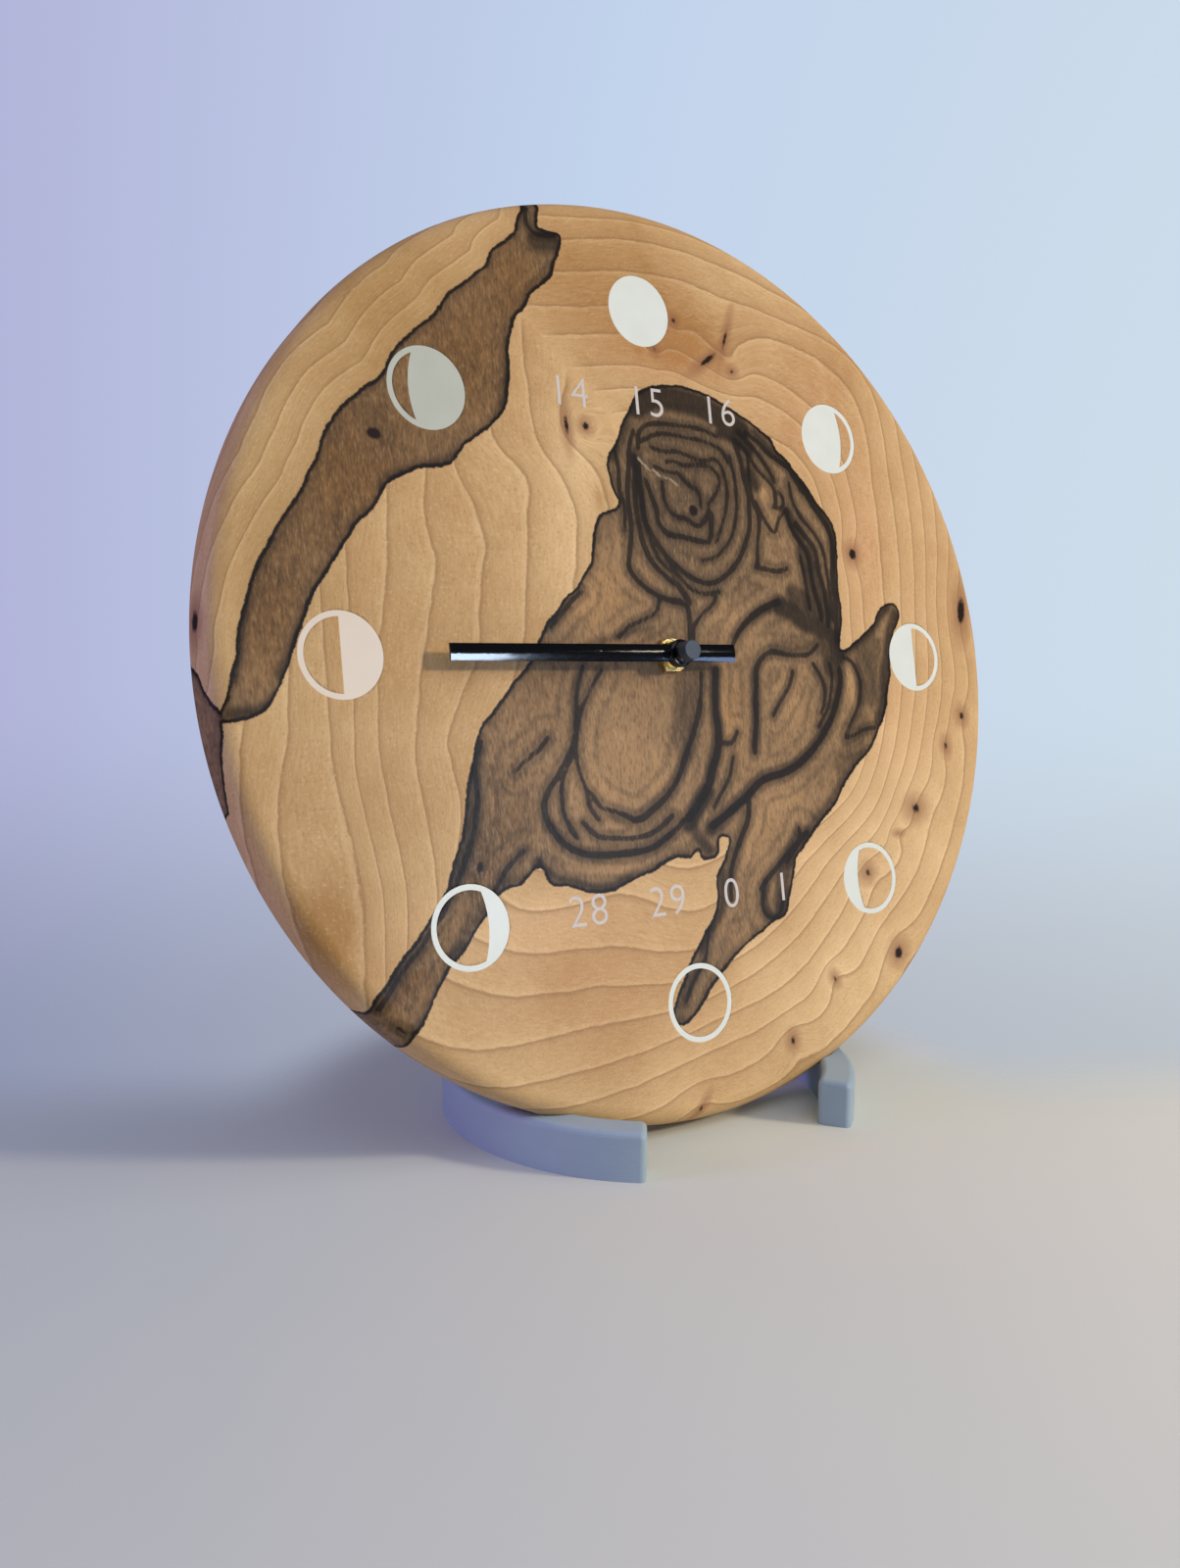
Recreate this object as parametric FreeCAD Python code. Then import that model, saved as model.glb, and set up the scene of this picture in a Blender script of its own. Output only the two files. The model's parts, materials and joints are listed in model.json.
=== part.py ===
import FreeCAD, Part
import math
import os

# Moon phase desk clock. Millimetres, +Z up, the dial faces -Y.
# The dial and all that it carries are drawn flat on their back: X to the right,
# Y up the face, Z out of the face, with the middle of the face as zero.
# The last section tips them back and sets them in the stand.

# Dial
dial_diameter = 300.0
dial_thickness = 20.0
dial_edge_round = 5.75
dial_lean_deg = 10.0
dial_floor_gap = 1.5

# Moon inlays, set flush in the face
marker_inset = 37.5
marker_diameter = 25.2
marker_line = 1.7
full_moon_diameter = 23.6
full_moon_offset = 2.1
inlay_depth = 2.0
terminator_end_share = 0.38
terminator_bulge_share = 0.54

# Stand, an open ring
stand_diameter = 140.0
stand_wall = 11.0
stand_gap_deg = 70.0
stand_round = 2.0
seat_depth = 0.77
dial_clearance = 0.25

# Hand, its hub and the shaft
hand_length = 82.0
hand_tail = 22.0
hand_tip_width = 5.2
hand_tail_width = 5.8
hand_edge_thickness = 0.5
hand_crown = 0.45
hand_height = 5.7
hub_diameter = 9.0
hub_height = 4.4
hub_thickness = 2.8
hub_round = 0.9
collar_diameter = 7.2
collar_height = 2.0
cap_diameter = 6.3
cap_height = 3.8
cap_round = 0.4
shaft_diameter = 5.0
shaft_in_cap = 1.5
running_gap = 0.05

# Threaded bush, nut and washer that clamp the movement to the dial
bush_diameter = 8.0
bush_stand_out = 3.4
bush_flange_diameter = 11.0
bush_flange_thickness = 0.8
bush_chamfer = 0.4
nut_across_flats = 10.5
nut_thickness = 2.2
nut_chamfer = 0.5
dial_bore_clearance = 0.2
washer_diameter = 20.0
washer_thickness = 0.8

# Pocket routed in the back of the dial, around the case
pocket_depth = 14.0
pocket_clearance = 3.0

# Movement case, a square that is as wide as what it holds needs
case_depth = 16.0
case_corner = 3.0
case_wall = 1.2
cover_thickness = 1.4
battery_wall = 1.0
cover_edge_round = 0.5

# Battery, size AA
battery_diameter = 14.2
battery_body_length = 49.3
battery_nub_diameter = 5.4
battery_nub_length = 1.2
battery_rim_round = 0.8
battery_slack = 0.1
contact_thickness = 0.3
contact_spring_reach = 2.8
contact_width = 9.0
contact_height = 10.0
contact_tongue_width = 4.0

# Gear train. Every wheel and pinion has the same module.
gear_module = 0.5
centre_wheel_teeth = 40
first_wheel_teeth = 40
second_wheel_teeth = 30
pinion_teeth = 10
wheel_thickness = 0.9
pinion_thickness = 1.3
tooth_addendum_share = 1.0
tooth_dedendum_share = 1.25
tooth_root_share = 0.62
tooth_middle_share = 0.42
tooth_tip_share = 0.16
arbor_diameter = 1.2
pivot_depth = 0.6
layer_gap = 0.5
first_arbor_deg = 120.0
second_arbor_deg = 160.0
rotor_deg = -105.0
knob_arbor_deg = 60.0

# Plate that carries the rear pivots
bridge_thickness = 0.8
bridge_coil_gap = 1.15
plate_wall_gap = 2.4
post_diameter = 3.0

# Rotor, stator and coil
rotor_diameter = 6.0
rotor_height = 2.8
rotor_air_gap = 0.5
stator_thickness = 1.0
stator_bar = 4.5
stator_left_bar = 9.0
stator_left_gap = 1.6
wheel_wall_gap = 0.8
stator_top_gap = 4.8
coil_wall_gap = 2.05
bobbin_flange = 9.6
bobbin_flange_thickness = 0.8
bobbin_tube_wall = 0.7
winding_diameter = 8.8
core_clearance = 0.05

# Circuit board
board_left_gap = 2.2
board_knob_gap = 1.85
board_end_gap = 1.0
board_thickness = 0.8
board_behind_stator = 1.4
board_post_diameter = 2.4
chip_diameter = 5.0
chip_height = 1.1
chip_inset = 5.75
crystal_diameter = 2.0
crystal_length = 6.0
crystal_left_inset = 2.5
crystal_top_inset = 5.5
crystal_end_round = 0.3

# Setting knob
knob_diameter = 10.0
knob_height = 3.6
knob_gap = 0.4
knob_arbor_diameter = 2.4
knob_flutes = 16
knob_flute_diameter = 1.0
knob_round = 0.5

# One overrun lets every cut pass its face
overrun = 1.0


def at_angle(radius, angle_deg, origin=(0.0, 0.0)):
    angle = math.radians(angle_deg)
    return origin[0] + radius * math.cos(angle), origin[1] + radius * math.sin(angle)


def centre_distance(wheel_teeth):
    return gear_module * (wheel_teeth + pinion_teeth) / 2


# Where the arbors stand
first_at = at_angle(centre_distance(centre_wheel_teeth), first_arbor_deg)
second_at = at_angle(centre_distance(first_wheel_teeth), second_arbor_deg, first_at)
rotor_at = at_angle(centre_distance(second_wheel_teeth), rotor_deg, second_at)
knob_at = at_angle(centre_distance(centre_wheel_teeth), knob_arbor_deg)

# The dial's lowest point is on its rounded back edge
dial_radius = dial_diameter / 2
lean = math.radians(dial_lean_deg)
round_centre_drop = ((dial_radius - dial_edge_round) * math.cos(lean)
                     + (dial_thickness - dial_edge_round) * math.sin(lean))
face_height = dial_floor_gap + dial_edge_round + round_centre_drop
marker_ring_radius = dial_radius - marker_inset

# The stand's arms reach past the dial's rim by the depth of their seats
stand_inner = stand_diameter / 2 - stand_wall
rim_low = face_height - dial_radius * math.cos(lean) - dial_thickness / 2 * math.sin(lean)
rim_rise = dial_radius - math.sqrt(dial_radius ** 2 - stand_inner ** 2)
stand_height = rim_low + rim_rise * math.cos(lean) + seat_depth

# The case holds the battery between its contacts, the motor's stator about the
# rotor, and the centre wheel above the battery's bay
battery_length = battery_body_length + battery_nub_length
battery_room = battery_length + contact_thickness + contact_spring_reach
motor_room = stator_left_gap + stator_left_bar / 2 - rotor_at[0]
wheel_radius = gear_module * (centre_wheel_teeth / 2 + tooth_addendum_share)
wheel_room = battery_diameter + 2 * battery_slack + battery_wall + wheel_wall_gap + wheel_radius
room_half = max(battery_room / 2, motor_room, wheel_room)
case_width = 2 * (room_half + case_wall)
pocket_width = case_width + 2 * pocket_clearance
pocket_corner = case_corner + pocket_clearance
bay_top = -room_half + battery_diameter + 2 * battery_slack
battery_up = (bay_top - room_half) / 2
gear_room_low = bay_top + battery_wall
coil_x = room_half - coil_wall_gap - bobbin_flange / 2
stator_left = rotor_at[0] - stator_left_bar / 2
stator_right = coil_x + stator_bar / 2
stator_bottom = gear_room_low + plate_wall_gap
stator_top = room_half - stator_top_gap
window_left = stator_left + stator_left_bar
window_low = stator_bottom + stator_bar
window_high = stator_top - stator_bar
bridge_right = coil_x - bobbin_flange / 2 - bridge_coil_gap
bridge_bottom = gear_room_low + plate_wall_gap

# The board fills the stator's window up to the knob's arbor
board_left = window_left + board_left_gap
board_right = knob_at[0] - knob_arbor_diameter / 2 - board_knob_gap
board_bottom = window_low + board_end_gap
board_top = window_high - board_end_gap

# Depths in the movement, counted from the face of the dial
web = dial_thickness - pocket_depth
case_front = -(web + washer_thickness)
case_back = case_front - case_depth
room_front = case_front - case_wall
room_back = case_back + cover_thickness
wheel_offset = (pinion_thickness - wheel_thickness) / 2
layer_a = room_front - bush_flange_thickness - layer_gap
layer_b = layer_a - pinion_thickness - layer_gap
layer_c = layer_b - pinion_thickness - layer_gap
bridge_front = layer_c - pinion_thickness - layer_gap
bridge_back = bridge_front - bridge_thickness
rotor_front = bridge_back - layer_gap / 2
rotor_back = rotor_front - rotor_height
stator_front = rotor_front - (rotor_height - stator_thickness) / 2
stator_back = stator_front - stator_thickness
core_front = stator_front + stator_thickness
board_front = stator_back - board_behind_stator
board_back = board_front - board_thickness


def vec(x, y, z):
    return FreeCAD.Vector(x, y, z)


def rod(radius, low, high, x=0.0, y=0.0):
    """Cylinder along Z between two heights."""
    return Part.makeCylinder(radius, high - low, vec(x, y, low))


def rod_along_x(radius, left, right, y, z):
    return Part.makeCylinder(radius, right - left, vec(left, y, z), vec(1, 0, 0))


def block(left, right, bottom, top, low, high):
    return Part.makeBox(right - left, top - bottom, high - low, vec(left, bottom, low))


def rounded_block(width, corner, low, high):
    """Square block about the axis with rounded upright corners."""
    half = width / 2
    body = block(-half, half, -half, half, low, high)
    upright = [e for e in body.Edges if abs(e.tangentAt(e.FirstParameter).z) > 0.5]
    return body.makeFillet(min(corner, half / 2), upright)


def circles_at(shape, height):
    """Circular edges that lie at one height."""
    found = []
    for edge in shape.Edges:
        if not isinstance(edge.Curve, Part.Circle):
            continue
        if abs(edge.BoundBox.ZMin - height) < running_gap and edge.BoundBox.ZLength < running_gap:
            found.append(edge)
    return found


def arc_edge(start, middle, end):
    return Part.Arc(start, middle, end).toShape()


def tight_box(shape):
    return shape.optimalBoundingBox(False, False)


# Dial and inlays

def dial_blank(clearance=0.0):
    """Rounded disc of the dial, grown all over by a clearance."""
    radius = dial_radius + clearance
    disc = rod(radius, -dial_thickness - clearance, clearance)
    return disc.makeFillet(dial_edge_round + clearance, disc.Edges[0:1] + disc.Edges[2:3])


def shadow_region(side, kind):
    """The part of a marker that stays wood: side is -1 on the left and 1 on the right."""
    radius = marker_diameter / 2 - marker_line
    if kind == "whole":
        return rod(radius, -inlay_depth - overrun, overrun)
    if kind == "half":
        end_x, bulge_x = 0.0, 0.0
    else:
        end_x, bulge_x = terminator_end_share * radius, terminator_bulge_share * radius
    end_y = math.sqrt(radius ** 2 - end_x ** 2)
    rim_x = -radius if kind == "wide" else radius
    low, high = vec(side * end_x, -end_y, 0), vec(side * end_x, end_y, 0)
    if bulge_x:
        terminator = arc_edge(low, vec(side * bulge_x, 0, 0), high)
    else:
        terminator = Part.LineSegment(low, high).toShape()
    rim = arc_edge(high, vec(side * rim_x, 0, 0), low)
    face = Part.Face(Part.Wire([terminator, rim]))
    region = face.extrude(vec(0, 0, inlay_depth + 2 * overrun))
    region.translate(vec(0, 0, -inlay_depth - overrun))
    return region


# Each phase: the marker's angle from the right, the side in shadow and the shadow's form.
# The full moon has no shadow, and is a plain disc set a little further out.
phases = {
    "moon_full": (90.0, 0, "none"),
    "moon_waning_gibbous": (45.0, 1, "narrow"),
    "moon_last_quarter": (0.0, 1, "half"),
    "moon_waning_crescent": (-45.0, -1, "wide"),
    "moon_new": (-90.0, 0, "whole"),
    "moon_waxing_crescent": (-135.0, 1, "wide"),
    "moon_first_quarter": (180.0, -1, "half"),
    "moon_waxing_gibbous": (135.0, -1, "narrow"),
}


def make_moon(angle_deg, side, kind):
    if kind == "none":
        x, y = at_angle(marker_ring_radius + full_moon_offset, angle_deg)
        return rod(full_moon_diameter / 2, -inlay_depth, 0.0, x, y)
    x, y = at_angle(marker_ring_radius, angle_deg)
    inlay = rod(marker_diameter / 2, -inlay_depth, 0.0).cut(shadow_region(side, kind))
    inlay.translate(vec(x, y, 0))
    return inlay


def make_dial(moons):
    dial = dial_blank()
    dial = dial.cut(rod(bush_diameter / 2 + dial_bore_clearance, -dial_thickness, overrun))
    pocket = rounded_block(pocket_width, pocket_corner, -dial_thickness - overrun, -web)
    dial = dial.cut(pocket)
    for moon in moons:
        dial = dial.cut(moon)
    return dial


# Stand

def make_stand(dial_space):
    outer = stand_diameter / 2
    ring = rod(outer, 0.0, stand_height).cut(rod(stand_inner, -overrun, stand_height + overrun))
    half_gap = math.radians(stand_gap_deg / 2)
    reach = 2 * outer
    wedge_points = [
        vec(0, 0, 0),
        vec(-reach * math.sin(half_gap), -reach * math.cos(half_gap), 0),
        vec(reach * math.sin(half_gap), -reach * math.cos(half_gap), 0),
        vec(0, 0, 0),
    ]
    wedge = Part.Face(Part.makePolygon(wedge_points)).extrude(vec(0, 0, stand_height + 2 * overrun))
    wedge.translate(vec(0, 0, -overrun))
    ring = ring.cut(wedge)
    soft = []
    for edge in ring.Edges:
        on_top = edge.BoundBox.ZMin > stand_height - running_gap
        upright = edge.BoundBox.ZLength > stand_height - running_gap
        at_end = upright and edge.BoundBox.YMax < 0
        if on_top or at_end:
            soft.append(edge)
    ring = ring.makeFillet(stand_round, soft)
    return ring.cut(dial_space)


# Clamping parts

def make_bush():
    tip = bush_stand_out
    bush = rod(bush_diameter / 2, room_front, tip)
    bush = bush.makeChamfer(bush_chamfer, circles_at(bush, tip))
    bush = bush.fuse(rod(bush_flange_diameter / 2, room_front - bush_flange_thickness, room_front))
    back = room_front - bush_flange_thickness
    bore = rod(shaft_diameter / 2 + running_gap, back - overrun, tip + overrun)
    return bush.cut(bore).removeSplitter()


def make_nut():
    corner_radius = nut_across_flats / 2 / math.cos(math.pi / 6)
    corners = [vec(*at_angle(corner_radius, 60 * k), 0) for k in range(7)]
    nut = Part.Face(Part.makePolygon(corners)).extrude(vec(0, 0, nut_thickness))
    # The flats' upper corners are turned off, as on a stamped and turned nut
    cone_low = nut_thickness - nut_chamfer
    turned = Part.makeCone(corner_radius + cone_low, corner_radius - nut_chamfer, nut_thickness)
    return nut.common(turned).cut(rod(bush_diameter / 2, -overrun, nut_thickness + overrun))


def make_washer():
    washer = rod(washer_diameter / 2, -web - washer_thickness, -web)
    return washer.cut(rod(bush_diameter / 2, -web - washer_thickness - overrun, 0.0))


# Gears

def gear(teeth, low, thickness, phase_deg, x, y):
    """Spur gear with straight-sided teeth, and one tooth's middle at phase_deg."""
    radius = gear_module * teeth / 2
    root = radius - tooth_dedendum_share * gear_module
    tip = radius + tooth_addendum_share * gear_module
    flank = [
        (root, -tooth_root_share / 2),
        (radius, -tooth_middle_share / 2),
        (tip, -tooth_tip_share / 2),
        (tip, tooth_tip_share / 2),
        (radius, tooth_middle_share / 2),
        (root, tooth_root_share / 2),
    ]
    pitch_deg = 360.0 / teeth
    points = []
    for tooth in range(teeth):
        for distance, turn_share in flank:
            angle_deg = phase_deg + (tooth + turn_share) * pitch_deg
            points.append(vec(*at_angle(distance, angle_deg), 0))
    points.append(points[0])
    body = Part.Face(Part.makePolygon(points)).extrude(vec(0, 0, thickness))
    body.translate(vec(x, y, low))
    return body


def meshing_phase(wheel_teeth, wheel_phase_deg, direction_deg, teeth=pinion_teeth):
    """Phase that puts a pinion's gap on the wheel's tooth, seen along direction_deg."""
    wheel_turn = (direction_deg - wheel_phase_deg) * wheel_teeth / 360.0
    return direction_deg + 180.0 - (0.5 - wheel_turn) * 360.0 / teeth


def pinion(low, phase_deg, place):
    return gear(pinion_teeth, low, pinion_thickness, phase_deg, *place)


def wheel(teeth, layer_front, bore_radius, place):
    low = layer_front - wheel_offset - wheel_thickness
    body = gear(teeth, low, wheel_thickness, 0.0, *place)
    return body.cut(rod(bore_radius, low - overrun, low + wheel_thickness + overrun, *place))


def make_arbor(pinion_front, phase_deg, place):
    """Steel arbor from the front case to the bridge, with its pinion."""
    low = bridge_back
    arbor = rod(arbor_diameter / 2, low, room_front + pivot_depth, *place)
    return arbor.fuse(pinion(pinion_front - pinion_thickness, phase_deg, place)).removeSplitter()


def make_rotor_arbor():
    back = rotor_back - layer_gap - pivot_depth
    arbor = rod(arbor_diameter / 2, back, layer_c + layer_gap / 2, *rotor_at)
    phase = meshing_phase(second_wheel_teeth, 0.0, rotor_deg)
    return arbor.fuse(pinion(layer_c - pinion_thickness, phase, rotor_at)).removeSplitter()


def make_knob_arbor():
    back = case_back - knob_gap
    phase = meshing_phase(centre_wheel_teeth, 0.0, knob_arbor_deg)
    arbor = rod(knob_arbor_diameter / 2, back, layer_a, *knob_at)
    arbor = arbor.fuse(rod(arbor_diameter / 2, layer_a, room_front + pivot_depth, *knob_at))
    return arbor.fuse(pinion(layer_a - pinion_thickness, phase, knob_at)).removeSplitter()


def make_knob():
    front = case_back - knob_gap
    back = front - knob_height
    knob = rod(knob_diameter / 2, back, front)
    knob = knob.makeFillet(knob_round, circles_at(knob, back))
    for k in range(knob_flutes):
        x, y = at_angle(knob_diameter / 2, 360.0 * k / knob_flutes)
        knob = knob.cut(rod(knob_flute_diameter / 2, back - overrun, front + overrun, x, y))
    knob.translate(vec(*knob_at, 0))
    return knob


# Movement case

def make_case_front():
    case = rounded_block(case_width, case_corner, case_back, case_front)
    front_rim = [e for e in case.Edges if e.BoundBox.ZMin > case_front - running_gap]
    case = case.makeFillet(cover_edge_round, front_rim)
    case = case.cut(block(-room_half, room_half, gear_room_low, room_half, case_back - overrun, room_front))
    case = case.cut(block(-room_half, room_half, -room_half, bay_top, case_back - overrun, room_front))
    case = case.cut(block(-case_width, case_width, bay_top, case_width, case_back - overrun, room_back))
    case = case.cut(rod(bush_diameter / 2, room_front - overrun, case_front + overrun))
    pivot_radius = arbor_diameter / 2 + running_gap
    for place in (first_at, second_at, knob_at):
        pivot_end = room_front + pivot_depth + running_gap
        case = case.cut(rod(pivot_radius, room_front - overrun, pivot_end, *place))
    for place in post_places():
        case = case.fuse(rod(post_diameter / 2, bridge_front, room_front, *place))
    return case.removeSplitter()


def post_places():
    """Four posts that hold the bridge, clear of the wheels."""
    inset = post_diameter / 2 + layer_gap
    left = -room_half + inset
    right = bridge_right - inset
    low = bridge_bottom + inset
    high = room_half - inset
    return [(left, low), (right, low), (right, high), (first_at[0], high)]


def make_case_back():
    cover = rounded_block(case_width, case_corner, case_back, room_back)
    cover = cover.cut(block(-case_width, case_width, -case_width, bay_top, case_back - overrun,
                            room_back + overrun))
    rim = [e for e in cover.Edges if e.BoundBox.ZMax < case_back + running_gap]
    cover = cover.makeFillet(cover_edge_round, rim)
    boss_front = rotor_back - layer_gap
    cover = cover.fuse(rod(post_diameter / 2, room_back, boss_front, *rotor_at))
    cover = cover.cut(rod(arbor_diameter / 2 + running_gap, boss_front - pivot_depth - running_gap,
                          boss_front + overrun, *rotor_at))
    cover = cover.cut(rod(knob_arbor_diameter / 2 + running_gap, case_back - overrun,
                          room_back + overrun, *knob_at))
    for place in board_posts():
        cover = cover.fuse(rod(board_post_diameter / 2, room_back, board_back, *place))
    return cover.removeSplitter()


def make_bridge():
    bridge = block(-room_half + layer_gap, bridge_right, bridge_bottom, room_half - layer_gap,
                   bridge_back, bridge_front)
    for place in (first_at, second_at, rotor_at):
        bridge = bridge.cut(rod(arbor_diameter / 2 + running_gap, bridge_back - overrun,
                                bridge_front + overrun, *place))
    bridge = bridge.cut(rod(knob_arbor_diameter / 2 + running_gap, bridge_back - overrun,
                            bridge_front + overrun, *knob_at))
    return bridge.cut(rod(arbor_diameter / 2 + running_gap, bridge_back - overrun, bridge_front + overrun))


# Motor and circuit

def make_stator():
    plate = block(stator_left, stator_right, stator_bottom, stator_top, stator_back, stator_front)
    plate = plate.cut(block(window_left, stator_right + overrun, window_low, window_high,
                            stator_back - overrun, stator_front + overrun))
    return plate.cut(rod(rotor_diameter / 2 + rotor_air_gap, stator_back - overrun,
                         stator_front + overrun, *rotor_at))


def make_coil_core():
    return block(stator_right - stator_bar, stator_right, stator_bottom, stator_top,
                 stator_front, core_front)


def coil_centre():
    return coil_x, (stator_front + core_front) / 2


def coil_solid(radius, low, high):
    x, z = coil_centre()
    return Part.makeCylinder(radius, high - low, vec(x, low, z), vec(0, 1, 0))


def bobbin_span():
    return window_low + layer_gap, window_high - layer_gap


def bobbin_tube_radius():
    half_diagonal = math.hypot(stator_bar / 2, stator_thickness / 2)
    return half_diagonal + core_clearance + bobbin_tube_wall


def make_bobbin():
    low, high = bobbin_span()
    x, z = coil_centre()
    half = bobbin_flange / 2
    bobbin = coil_solid(bobbin_tube_radius(), low, high)
    for start in (low, high - bobbin_flange_thickness):
        flange = block(x - half, x + half, start, start + bobbin_flange_thickness, z - half, z + half)
        bobbin = bobbin.fuse(flange)
    slot = block(x - stator_bar / 2 - core_clearance, x + stator_bar / 2 + core_clearance,
                 low - overrun, high + overrun,
                 z - stator_thickness / 2 - core_clearance, z + stator_thickness / 2 + core_clearance)
    return bobbin.cut(slot).removeSplitter()


def make_winding():
    low, high = bobbin_span()
    low += bobbin_flange_thickness
    high -= bobbin_flange_thickness
    return coil_solid(winding_diameter / 2, low, high).cut(
        coil_solid(bobbin_tube_radius(), low - overrun, high + overrun))


def board_posts():
    inset = board_post_diameter
    return [(board_left + inset, board_top - inset), (board_right - inset, board_bottom + inset)]


def make_board():
    return block(board_left, board_right, board_bottom, board_top, board_back, board_front)


def make_chip_cover():
    """Low blob of resin over the chip, a slice of a ball."""
    half = chip_diameter / 2
    x, y = board_left + chip_inset, board_bottom + chip_inset
    ball_radius = (half ** 2 + chip_height ** 2) / (2 * chip_height)
    ball = Part.makeSphere(ball_radius, vec(x, y, board_front + chip_height - ball_radius))
    return ball.common(block(x - half, x + half, y - half, y + half,
                             board_front, board_front + chip_height + overrun))


def make_crystal():
    radius = crystal_diameter / 2
    can = rod(radius, 0.0, crystal_length)
    can = can.makeFillet(crystal_end_round, circles_at(can, crystal_length))
    can.rotate(vec(0, 0, 0), vec(0, 1, 0), 90)
    can.translate(vec(board_left + crystal_left_inset, board_top - crystal_top_inset,
                      board_front + radius))
    return can


# Battery and its contacts

def battery_centre():
    return battery_up, room_front - layer_gap - battery_diameter / 2


def battery_right():
    """Right end of the battery's nub, against the flat contact."""
    return room_half - contact_thickness


def make_battery():
    y, z = battery_centre()
    nub_end = battery_right()
    shoulder = nub_end - battery_nub_length
    foot = shoulder - battery_body_length
    body = rod_along_x(battery_diameter / 2, foot, shoulder, y, z)
    body = body.makeFillet(battery_rim_round, [e for e in body.Edges if isinstance(e.Curve, Part.Circle)])
    nub = rod_along_x(battery_nub_diameter / 2, shoulder - overrun, nub_end, y, z)
    return body.fuse(nub).removeSplitter()


def make_flat_contact():
    y, z = battery_centre()
    left = battery_right()
    return block(left, left + contact_thickness, y - contact_width / 2, y + contact_width / 2,
                 z - contact_height / 2, z + contact_height / 2)


def make_spring_contact():
    """Plate on the case wall with a tongue bent inwards to press on the battery."""
    y, z = battery_centre()
    wall = -room_half
    foot = battery_right() - battery_length
    half = contact_height / 2
    plate = block(wall, wall + contact_thickness, y - contact_width / 2, y + contact_width / 2,
                  z - half, z + half)
    tongue_points = [
        vec(wall, 0, z + half),
        vec(foot - contact_thickness, 0, z),
        vec(foot - contact_thickness, 0, z - half / 2),
        vec(foot, 0, z - half / 2),
        vec(foot, 0, z),
        vec(wall + contact_thickness, 0, z + half),
        vec(wall, 0, z + half),
    ]
    tongue = Part.Face(Part.makePolygon(tongue_points)).extrude(vec(0, contact_tongue_width, 0))
    tongue.translate(vec(0, y - contact_tongue_width / 2, 0))
    return plate.fuse(tongue).removeSplitter()


# Hand

def hand_section(x, width):
    """Flat underneath, crowned on top, square to the hand's length."""
    half = width / 2
    low = hand_height
    edge = low + hand_edge_thickness
    left, right = vec(x, -half, edge), vec(x, half, edge)
    under_left, under_right = vec(x, -half, low), vec(x, half, low)
    return Part.Wire([
        Part.LineSegment(under_left, left).toShape(),
        arc_edge(left, vec(x, 0, edge + hand_crown), right),
        Part.LineSegment(right, under_right).toShape(),
        Part.LineSegment(under_right, under_left).toShape(),
    ])


def make_hand():
    """Straight hand that points to the left, with its hub."""
    sections = [hand_section(-hand_length, hand_tip_width), hand_section(hand_tail, hand_tail_width)]
    blade = Part.makeLoft(sections, True, True)
    hub_top = hub_height + hub_thickness
    hub = rod(hub_diameter / 2, hub_height, hub_top)
    hub = hub.makeFillet(hub_round, circles_at(hub, hub_top))
    hand = blade.fuse(hub).removeSplitter()
    return hand.cut(rod(shaft_diameter / 2, hub_height - overrun, hub_top + overrun))


def make_collar():
    low = hub_height + hub_thickness
    high = low + collar_height
    collar = rod(collar_diameter / 2, low, high)
    collar = collar.makeFillet(cap_round, circles_at(collar, high))
    return collar.cut(rod(shaft_diameter / 2, low - overrun, high + overrun))


def shaft_top():
    return hub_height + hub_thickness + collar_height + shaft_in_cap


def make_cap():
    low = hub_height + hub_thickness + collar_height
    high = low + cap_height
    cap = rod(cap_diameter / 2, low, high)
    cap = cap.makeFillet(cap_round, circles_at(cap, high))
    return cap.cut(rod(shaft_diameter / 2, low - overrun, shaft_top()))


def make_shaft():
    low = layer_a - pinion_thickness
    shaft = rod(shaft_diameter / 2, low, shaft_top())
    return shaft.fuse(rod(arbor_diameter / 2, bridge_back, low)).removeSplitter()


# Put the pieces together

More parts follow.
